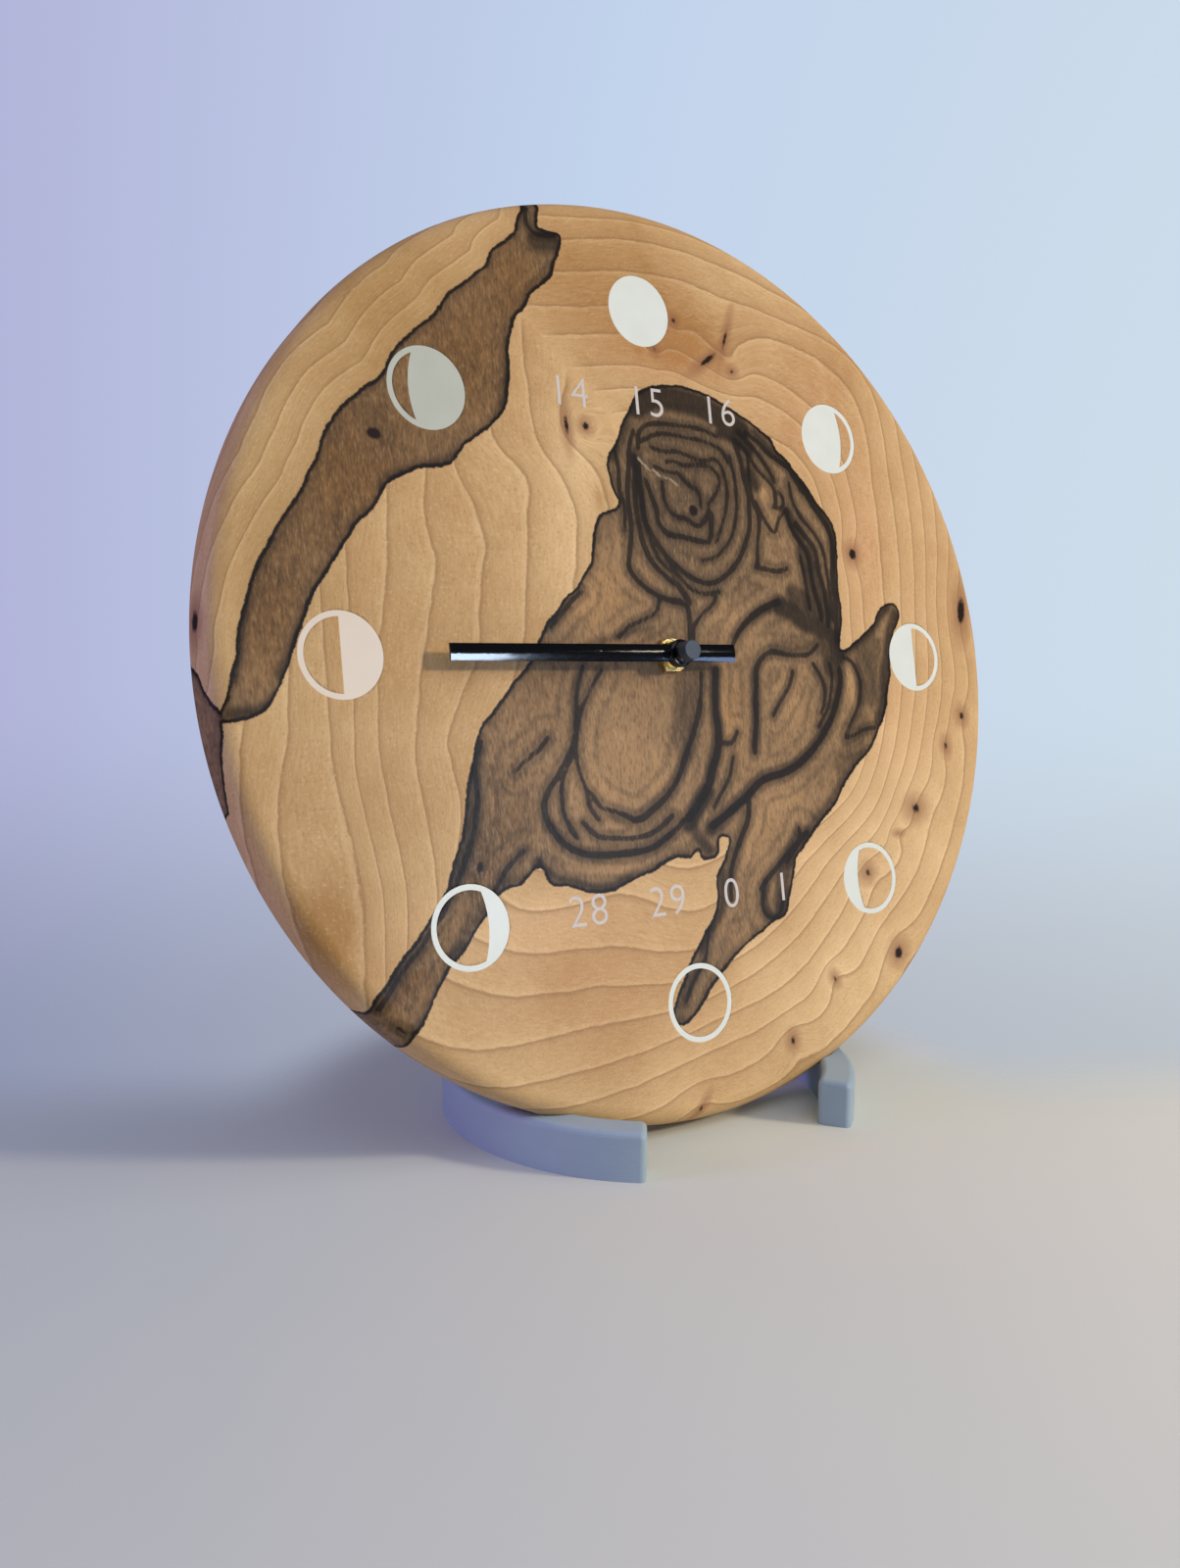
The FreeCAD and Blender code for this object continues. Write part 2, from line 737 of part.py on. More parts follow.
def face_pieces():
    """Everything that is carried by the dial, by name, in the dial's own frame."""
    pieces = {name: make_moon(*phase) for name, phase in phases.items()}
    pieces["wood_dial"] = make_dial(list(pieces.values()))
    pieces["threaded_bush"] = make_bush()
    pieces["hex_nut"] = make_nut()
    pieces["rubber_washer"] = make_washer()
    pieces["movement_case_front"] = make_case_front()
    pieces["movement_case_back"] = make_case_back()
    pieces["gear_bridge"] = make_bridge()
    pieces["stator"] = make_stator()
    pieces["coil_core"] = make_coil_core()
    pieces["coil_bobbin"] = make_bobbin()
    pieces["coil_winding"] = make_winding()
    pieces["circuit_board"] = make_board()
    pieces["chip_cover"] = make_chip_cover()
    pieces["quartz_crystal"] = make_crystal()
    pieces["battery"] = make_battery()
    pieces["battery_contact_flat"] = make_flat_contact()
    pieces["battery_contact_spring"] = make_spring_contact()
    pieces["hand"] = make_hand()
    pieces["hand_collar"] = make_collar()
    pieces["shaft_cap"] = make_cap()
    pieces["output_shaft"] = make_shaft()
    pieces["centre_wheel"] = wheel(centre_wheel_teeth, layer_a, shaft_diameter / 2, (0.0, 0.0))
    first_phase = meshing_phase(centre_wheel_teeth, 0.0, first_arbor_deg)
    pieces["first_arbor"] = make_arbor(layer_a, first_phase, first_at)
    pieces["first_wheel"] = wheel(first_wheel_teeth, layer_b, arbor_diameter / 2, first_at)
    second_phase = meshing_phase(first_wheel_teeth, 0.0, second_arbor_deg)
    pieces["second_arbor"] = make_arbor(layer_b, second_phase, second_at)
    pieces["second_wheel"] = wheel(second_wheel_teeth, layer_c, arbor_diameter / 2, second_at)
    pieces["rotor_arbor"] = make_rotor_arbor()
    magnet = rod(rotor_diameter / 2, rotor_back, rotor_front, *rotor_at)
    bore = rod(arbor_diameter / 2, rotor_back - overrun, rotor_front + overrun, *rotor_at)
    pieces["rotor_magnet"] = magnet.cut(bore)
    pieces["knob_arbor"] = make_knob_arbor()
    pieces["set_knob"] = make_knob()
    return pieces


# The middle of the dial's thickness stands plumb over the middle of the stand's ring
face_forward = dial_thickness / 2 * math.cos(lean)


def set_in_place(shape, shift):
    """Tip a piece of the dial back by the lean and lift it to its height."""
    shape.rotate(vec(0, 0, 0), vec(1, 0, 0), 90.0 - dial_lean_deg)
    shape.translate(vec(0, -face_forward + shift, face_height))
    return shape


def row_point(x, y, z, shift):
    """A point of the dial's frame in the clock's frame, for the joints."""
    return (x, y * math.sin(lean) - z * math.cos(lean) - face_forward + shift,
            y * math.cos(lean) + z * math.sin(lean) + face_height)


os.makedirs("parts", exist_ok=True)
stand = make_stand(set_in_place(dial_blank(dial_clearance), 0.0))
carried = face_pieces()

# The origin is under the middle of the whole clock's box, which the stand sets
# in front and at the back.
stand_box = tight_box(stand)
shift = -(stand_box.YMin + stand_box.YMax) / 2
stand.translate(vec(0, shift, 0))
pieces = {"stand": stand}
for name, shape in carried.items():
    pieces[name] = set_in_place(shape, shift)

for name, shape in pieces.items():
    solids = shape.Solids
    shape = solids[0] if len(solids) == 1 else Part.makeCompound(solids)
    shape.exportStep(f"parts/{name}.step")
    box = tight_box(shape)
    print(f"{name:24s} solids {len(solids)} valid {shape.isValid()} volume {shape.Volume:11.2f}"
          f"  Y {box.YMin:7.2f} {box.YMax:7.2f}  Z {box.ZMin:7.2f} {box.ZMax:7.2f}")

for label, place in (("shaft", (0.0, 0.0)), ("first", first_at), ("second", second_at),
                     ("rotor", rotor_at), ("knob", knob_at)):
    print("axis", label, [round(c, 4) for c in row_point(*place, layer_a, shift)])
print("axis direction", [0.0, round(-math.cos(lean), 6), round(math.sin(lean), 6)])
print("shift", round(shift, 4), "face centre", [round(c, 4) for c in row_point(0.0, 0.0, 0.0, shift)])
whole = tight_box(Part.makeCompound(list(pieces.values())))
print("box X", round(whole.XMin, 3), round(whole.XMax, 3), "Y", round(whole.YMin, 3), round(whole.YMax, 3),
      "Z", round(whole.ZMin, 3), round(whole.ZMax, 3))
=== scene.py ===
import json
import math
import bpy
import bmesh
import numpy as np
from mathutils import Matrix, Vector


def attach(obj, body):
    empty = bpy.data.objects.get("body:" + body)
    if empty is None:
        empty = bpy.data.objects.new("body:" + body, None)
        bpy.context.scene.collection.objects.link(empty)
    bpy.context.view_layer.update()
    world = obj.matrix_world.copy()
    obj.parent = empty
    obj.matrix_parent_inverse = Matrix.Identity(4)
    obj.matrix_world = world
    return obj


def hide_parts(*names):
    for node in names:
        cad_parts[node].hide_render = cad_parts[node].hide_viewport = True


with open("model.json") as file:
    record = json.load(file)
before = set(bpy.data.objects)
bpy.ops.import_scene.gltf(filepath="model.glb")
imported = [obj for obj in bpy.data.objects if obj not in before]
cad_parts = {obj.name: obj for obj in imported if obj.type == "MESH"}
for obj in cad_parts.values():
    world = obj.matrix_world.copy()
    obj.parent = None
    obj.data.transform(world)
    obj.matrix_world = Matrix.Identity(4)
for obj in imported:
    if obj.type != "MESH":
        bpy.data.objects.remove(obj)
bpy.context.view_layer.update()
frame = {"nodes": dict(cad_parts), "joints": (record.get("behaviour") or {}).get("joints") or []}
nodes = frame["nodes"]
mm = 0.001
print("frame loaded:", len(nodes), "nodes")

# Where the dial's face lies, read from the hand's axis and the wooden disc.
handJoint = next(joint for joint in frame["joints"] if joint["name"] == "hand_turn")
outward = -Vector(handJoint["axis"]).normalized()
across = Vector((1, 0, 0))
upward = outward.cross(across)
discPoints = [vertex.co for vertex in nodes["wood_dial"].data.vertices]
faceHeight = max(point.dot(outward) for point in discPoints)
discThickness = faceHeight - min(point.dot(outward) for point in discPoints)
axisPoint = Vector(handJoint["pos_m"])
faceCentre = axisPoint + outward * (faceHeight - axisPoint.dot(outward))
dialToRow = Matrix.Translation(faceCentre) @ Matrix((across, upward, outward)).transposed().to_4x4()
rowToDial = dialToRow.inverted()
lean = math.atan2(outward.z, -outward.y)
discRadius = max((rowToDial @ point).x for point in discPoints)


def toLinear(hexColour):
    channels = [int(hexColour[start:start + 2], 16) / 255 for start in (1, 3, 5)]
    return [c / 12.92 if c <= 0.04045 else ((c + 0.055) / 1.055) ** 2.4 for c in channels] + [1.0]


def setInputs(tree, node, inputs):
    # an input may be a number, a hex colour, a socket, or a node whose first output is then used
    for name, value in inputs.items() if isinstance(inputs, dict) else enumerate(inputs):
        if isinstance(value, bpy.types.Node):
            value = next(output for output in value.outputs if output.enabled)
        if isinstance(value, bpy.types.NodeSocket):
            tree.links.new(value, node.inputs[name])
        else:
            node.inputs[name].default_value = toLinear(value) if isinstance(value, str) else value


def addNode(tree, kind, inputs=(), stops=(), **settings):
    # inputs go by name or in their order: a map range's are value, from, from, to, to
    # a mix always mixes colours here: its inputs are 0 for the share, 6 and 7 for the colours
    node = tree.nodes.new("ShaderNode" + kind)
    if kind == "Mix":
        settings["data_type"] = "RGBA"
    for name, value in settings.items():
        setattr(node, name, value)
    while stops and len(node.color_ramp.elements) < len(stops):
        node.color_ramp.elements.new(0.5)
    for index, (position, colour) in enumerate(stops):
        node.color_ramp.elements[index].position = position
        node.color_ramp.elements[index].color = colour
    setInputs(tree, node, inputs)
    return node


def newMaterial(name):
    material = bpy.data.materials.new(name)
    material.use_nodes = True
    tree = material.node_tree
    tree.nodes.clear()
    shader = addNode(tree, "BsdfPrincipled")
    addNode(tree, "OutputMaterial", {"Surface": shader})
    return material, tree, shader


def deselectAll():
    if bpy.context.object and bpy.context.object.mode != "OBJECT":
        bpy.ops.object.mode_set(mode="OBJECT")
    bpy.ops.object.select_all(action="DESELECT")


def makeActive(piece):
    deselectAll()
    piece.select_set(True)
    bpy.context.view_layer.objects.active = piece


def pickVertices(piece, chosen):
    # selects only the chosen vertices, in edit mode
    bpy.ops.mesh.select_mode(type="VERT")
    bpy.ops.mesh.select_all(action="DESELECT")
    mesh = bmesh.from_edit_mesh(piece.data)
    for vertex in mesh.verts:
        if chosen(vertex.co):
            vertex.select_set(True)
    mesh.select_flush_mode()
    bmesh.update_edit_mesh(piece.data)


def applyModifier(piece, kind, **settings):
    makeActive(piece)
    modifier = piece.modifiers.new(kind.lower(), kind)
    for name, value in settings.items():
        setattr(modifier, name, value)
    bpy.ops.object.modifier_apply(modifier=modifier.name)


def setPlace(piece, matrix):
    # moves the mesh, and leaves the object at the origin
    makeActive(piece)
    piece.matrix_world = matrix @ piece.matrix_world
    bpy.ops.object.transform_apply(location=True, rotation=True, scale=True)


# The camera stands left of the clock and a little below its middle, as in the photo. Its place is in mm.
photoCamera = {
    "place": (-241.91, -350.06, 153.58),
    "look": (0.5327, 0.8396, -0.1060),
    "right": (0.8447, -0.5351, 0.0067),
    "lens": 28.835,
    "sensor": 36.0,
    "clip": (0.01, 50.0),
}


def makeCamera():
    bpy.ops.object.camera_add()
    camera = bpy.context.object
    camera.name = "photo_camera"
    look = Vector(photoCamera["look"]).normalized()
    right = Vector(photoCamera["right"])
    right = (right - look * right.dot(look)).normalized()
    turned = Matrix((right, right.cross(look), -look)).transposed().to_4x4()
    camera.matrix_world = Matrix.Translation(Vector(photoCamera["place"]) * mm) @ turned
    camera.data.lens = photoCamera["lens"]
    camera.data.sensor_width = photoCamera["sensor"]
    camera.data.clip_start, camera.data.clip_end = photoCamera["clip"]
    bpy.context.scene.camera = camera


makeCamera()

# Studio, in metres: pale paper that fades into the backdrop, a key at the right, a violet light at the left.
studio = {
    "floorSize": 2.4,
    # painted shade and light on the floor: its shaded left colour, then its lit right colour, and where
    # across the floor the one turns into the other
    "floorShadedLitColours": ("#BFC5BF", "#DAD9CA"),
    "floorShadeToLight": (-0.16, 0.20),
    "floorRight": (0.845, -0.535, 0.0),
    "mottleSize": 0.12,
    "mottleShare": 0.25,
    "farFade": (0.26, 0.50),
    "backFade": (-0.05, 0.06),
    "nearStand": (0.09, 0.15),
    "backDirection": (0.470, 0.883, 0.0),
    "backdropStops": (0.0, 0.55, 1.0),
    # painted light on the backdrop: the lamps' colours above, then the same sides in painted shade below
    "backdropLitAbove": ("#B1B3D8", "#C2D3EC", "#CEDDEA"),
    "backdropShadedBelow": ("#9198B4", "#ACB2BF", "#BDC3CA"),
    "backdropLampSides": (-0.10, -0.85),
    "backdropShadeDown": (0.02, 0.30),
    "softLight": 0.48,
    "softColour": "#CBD6F2",
    "darkRoom": 0.2,
    "aim": (0.0, 0.0, 0.12),
    # place, size, power in watts, colour, and the rays that don't see it; only mirrors see the panels
    "lamps": {
        "key_lamp": ((1.07, -1.18, 0.74), (0.20, 0.20), 18.0, "#FFF0DC", "glossy"),
        "top_fill": ((-0.15, -1.2, 1.7), (1.6, 1.2), 9.0, "#EEF2FF", None),
        "right_fill": ((0.85, -0.70, 0.75), (0.6, 0.6), 2.6, "#FFF6E8", "glossy"),
        "violet_lamp": ((-1.45, 0.34, 0.50), (0.45, 0.45), 9.0, "#BA92EE", None),
        "tip_panel": ((0.112, -0.415, 0.143), (0.07, 0.17), 1.1, "#D2E6FF", "diffuse"),
        "tail_panel": ((0.32, -0.41, 0.12), (0.05, 0.09), 0.13, "#A4C0F4", "diffuse"),
        "nut_panel": ((0.30, -0.41, 0.335), (0.05, 0.03), 0.08, "#FFF3DC", "diffuse"),
    },
}


def makeFloor():
    bpy.ops.mesh.primitive_plane_add(size=studio["floorSize"])
    floor = bpy.context.object
    floor.name = "floor"
    # matt paper with faint mottling so that it isn't flat; painted shade makes it bluish and darker at the
    # left, away from the key, and painted light makes it warmer and lighter at the right
    material, tree, shader = newMaterial("Matt backdrop paper")
    place = addNode(tree, "TexCoord").outputs["Object"]
    mottle = addNode(tree, "TexNoise", {"Vector": place, "Scale": 1 / studio["mottleSize"], "Detail": 3.0})
    # painted light: the share of the lit colour grows from left to right
    lightShare = addNode(tree, "VectorMath", [place, studio["floorRight"]], operation="DOT_PRODUCT")
    lightShare = addNode(tree, "MapRange", [lightShare.outputs["Value"], *studio["floorShadeToLight"]])
    share = addNode(tree, "Math", [mottle, studio["mottleShare"], lightShare], operation="MULTIPLY_ADD")
    share = addNode(tree, "Math", [share, studio["mottleShare"] / 2], operation="SUBTRACT")
    left, right = studio["floorShadedLitColours"]
    tint = addNode(tree, "Mix", {0: share, 6: left, 7: right})
    setInputs(tree, shader, {"Base Color": tint, "Roughness": 0.9, "Specular IOR Level": 0.2})
    # the paper thins out away from the clock, and sooner behind it where a sweep would curve up
    distance = addNode(tree, "VectorMath", [place], operation="LENGTH")
    behind = addNode(tree, "VectorMath", [place, studio["backDirection"]], operation="DOT_PRODUCT")
    fades = []
    for measure, key in ((behind, "backFade"), (distance, "nearStand"), (distance, "farFade")):
        sockets = [measure.outputs["Value"], *studio[key]]
        fades.append(addNode(tree, "MapRange", sockets, interpolation_type="SMOOTHERSTEP"))
    back = addNode(tree, "Math", fades[:2], operation="MULTIPLY")
    gone = addNode(tree, "Math", [back, fades[2]], operation="MAXIMUM")
    sheet = addNode(tree, "MixShader", [gone, shader, addNode(tree, "BsdfTransparent")])
    output = next(node for node in tree.nodes if node.type == "OUTPUT_MATERIAL")
    setInputs(tree, output, {"Surface": sheet})
    floor.data.materials.append(material)


def makeLamps():
    for name, (place, size, power, colour, hidden) in studio["lamps"].items():
        bpy.ops.object.light_add(type="AREA", location=place)
        light = bpy.context.object
        light.name = name
        light.data.shape = "RECTANGLE"
        light.data.size, light.data.size_y = size
        light.data.energy = power
        light.data.color = toLinear(colour)[:3]
        light.visible_camera = False
        light.visible_glossy = hidden != "glossy"
        light.visible_diffuse = hidden != "diffuse"
        towards = Vector(studio["aim"]) - Vector(place)
        light.rotation_euler = towards.to_track_quat("-Z", "Y").to_euler()


def makeWorld():
    world = bpy.data.worlds.new("studio_world")
    bpy.context.scene.world = world
    world.use_nodes = True
    sky = world.node_tree
    sky.nodes.clear()
    ray = addNode(sky, "LightPath").outputs
    incoming = addNode(sky, "NewGeometry").outputs["Incoming"]
    split = addNode(sky, "SeparateXYZ", [incoming]).outputs
    # painted lamp light: lavender at the left, pale blue at the right; painted shade: greyer and darker low
    # down, where the paper curves up and the clock's shadow falls at the left
    sideways = addNode(sky, "MapRange", [split["X"], *studio["backdropLampSides"]])
    shades = []
    for key in ("backdropLitAbove", "backdropShadedBelow"):
        stops = [(share, toLinear(colour)) for share, colour in zip(studio["backdropStops"], studio[key])]
        shades.append(addNode(sky, "ValToRGB", [sideways], stops))
    down = addNode(sky, "MapRange", [split["Z"], *studio["backdropShadeDown"]], interpolation_type="SMOOTHSTEP")
    wall = addNode(sky, "Mix", {0: down, 6: shades[0], 7: shades[1]})
    # mirrors see a darker room than the one that lights the clock
    bright = studio["softLight"]
    dim = bright * studio["darkRoom"]
    strength = addNode(sky, "MapRange", [ray["Is Glossy Ray"], 0.0, 1.0, bright, dim])
    soft = addNode(sky, "Background", [studio["softColour"], strength])
    shown = addNode(sky, "Background", [wall])
    mixed = addNode(sky, "MixShader", [ray["Is Camera Ray"], soft, shown])
    addNode(sky, "OutputWorld", {"Surface": mixed})


makeFloor()
makeLamps()
makeWorld()
bpy.context.scene.view_settings.view_transform = "Standard"
print("camera and studio made")

# The wood's figure, drawn on the face: x to the right and y up, in hundredths of the ring of moons' radius.
unit = 1.125  # mm
heartwood = {
    "band": [
        -36, 146, -36, 130, -38.5, 122, -40, 118, -45, 114, -48, 111, -50, 107, -55, 103, -60, 99,
        -63, 96.5, -65.5, 93, -68, 90, -73, 86, -77, 82, -80, 78, -84, 72, -88, 69, -93, 65, -96, 62,
        -100, 55.5, -102, 51, -105, 45.5, -107, 41, -110, 37, -113, 33, -116, 28, -120, 21, -122, 16,
        -124, 10, -125.5, 5, -126, 0, -127.5, -5, -129, -10, -131.5, -15.5, -126, -15.5, -122, -14.5,
        -119, -12, -117, -9, -115, -5, -113, -1, -111, 4, -109, 9, -107, 13, -105, 17, -102, 21, -99, 25,
        -96, 29, -93, 33, -89, 37, -86, 41, -84, 44, -80, 46.5, -75, 49, -70, 49.5, -66, 51, -63, 54,
        -60, 57, -56, 60, -52, 63, -49, 66, -47, 70, -46, 75, -45.5, 80, -45, 85, -43.5, 90, -42, 94,
        -39, 97, -36, 102, -32, 105, -29, 108, -28, 111, -26, 115, -25, 120, -30, 120.5, -32.5, 122,
        -31, 130, -31, 146,
    ],
    "rimWedge": [
        -131.2, -15.2, -135, -9, -141, -1, -162, 12, -160, -50, -136, -41, -132.8, -34, -132, -25,
    ],
    "figure": [
        0, 79, 5, 80.5, 10, 81, 15, 81, 20, 80, 25, 79, 29, 77.5, 33, 75.5, 38, 73.5, 42, 71, 46, 68.5,
        48, 65, 50, 63.5, 53, 61, 56, 57.5, 60, 53.5, 63, 50, 66, 46.5, 69, 43, 70, 38, 69.5, 33, 69, 27,
        68.5, 22, 69, 17, 69, 12, 67.5, 6, 67, 2.5, 70, 2.5, 73, 4.5, 76, 6, 80, 8.5, 83, 11, 85, 14,
        87, 16, 90, 17.5, 93, 17.5, 95, 15, 93, 10, 91, 7, 89, 0, 88, -6, 86, -13, 85, -16, 83, -20,
        81, -23, 79, -26, 77, -29, 73, -32, 70, -34, 67, -37, 64, -40, 62, -42, 60, -45, 57, -48,
        53, -50.5, 50, -53, 47, -56, 44, -59, 41, -62, 39, -67, 37, -72, 35.5, -77, 34, -79, 30, -80,
        25, -82.5, 20, -84.5, 15, -88, 10, -91.5, 6, -95, 2, -99, -2, -103, -6, -105, -8.5, -105,
        -10, -102, -8, -98, -5, -93, -2, -88, 1, -84, 4, -80, 7, -77, 9, -74, 10, -70, 10, -65, 13, -61,
        15, -57, 16, -54, 13, -53, 11.5, -55, 11, -58, 8, -59.5, 5, -59, 4, -56.5, 1, -58.5, -3, -58,
        -7, -59, -12, -61, -17, -62, -22, -64, -26, -65.5, -30, -65.5, -34, -65, -38, -63.5, -42, -62.5,
        -45, -62, -47, -60, -48, -57.5, -50, -57, -52, -58.5, -55, -61, -58, -61.5, -60, -62, -64, -65,
        -66, -68, -70, -72, -72, -75, -75, -78, -78, -81, -81, -85, -84, -90, -87, -94, -89, -96.5,
        -93, -103, -100, -114, -114, -100, -105, -93, -100, -88.5, -98, -85, -95, -82, -91, -77, -88, -74,
        -84, -70, -80, -65, -77, -61, -75, -56, -73, -51, -71, -47, -70, -43, -69, -38, -68, -33,
        -66.5, -28, -65, -24, -63, -19, -60, -16, -56, -12, -52, -7, -48, -3, -45, 1, -42, 6, -40, 9,
        -37, 12, -34, 15.5, -30, 18.5, -28, 21, -26, 24, -24, 27, -23, 32, -22, 36, -20, 40, -16, 42,
        -13.5, 43, -13, 45, -14.5, 48, -15, 51, -16, 55, -15, 58, -12, 62, -10, 66, -7, 71, -5, 75,
        -2, 78,
    ],
}

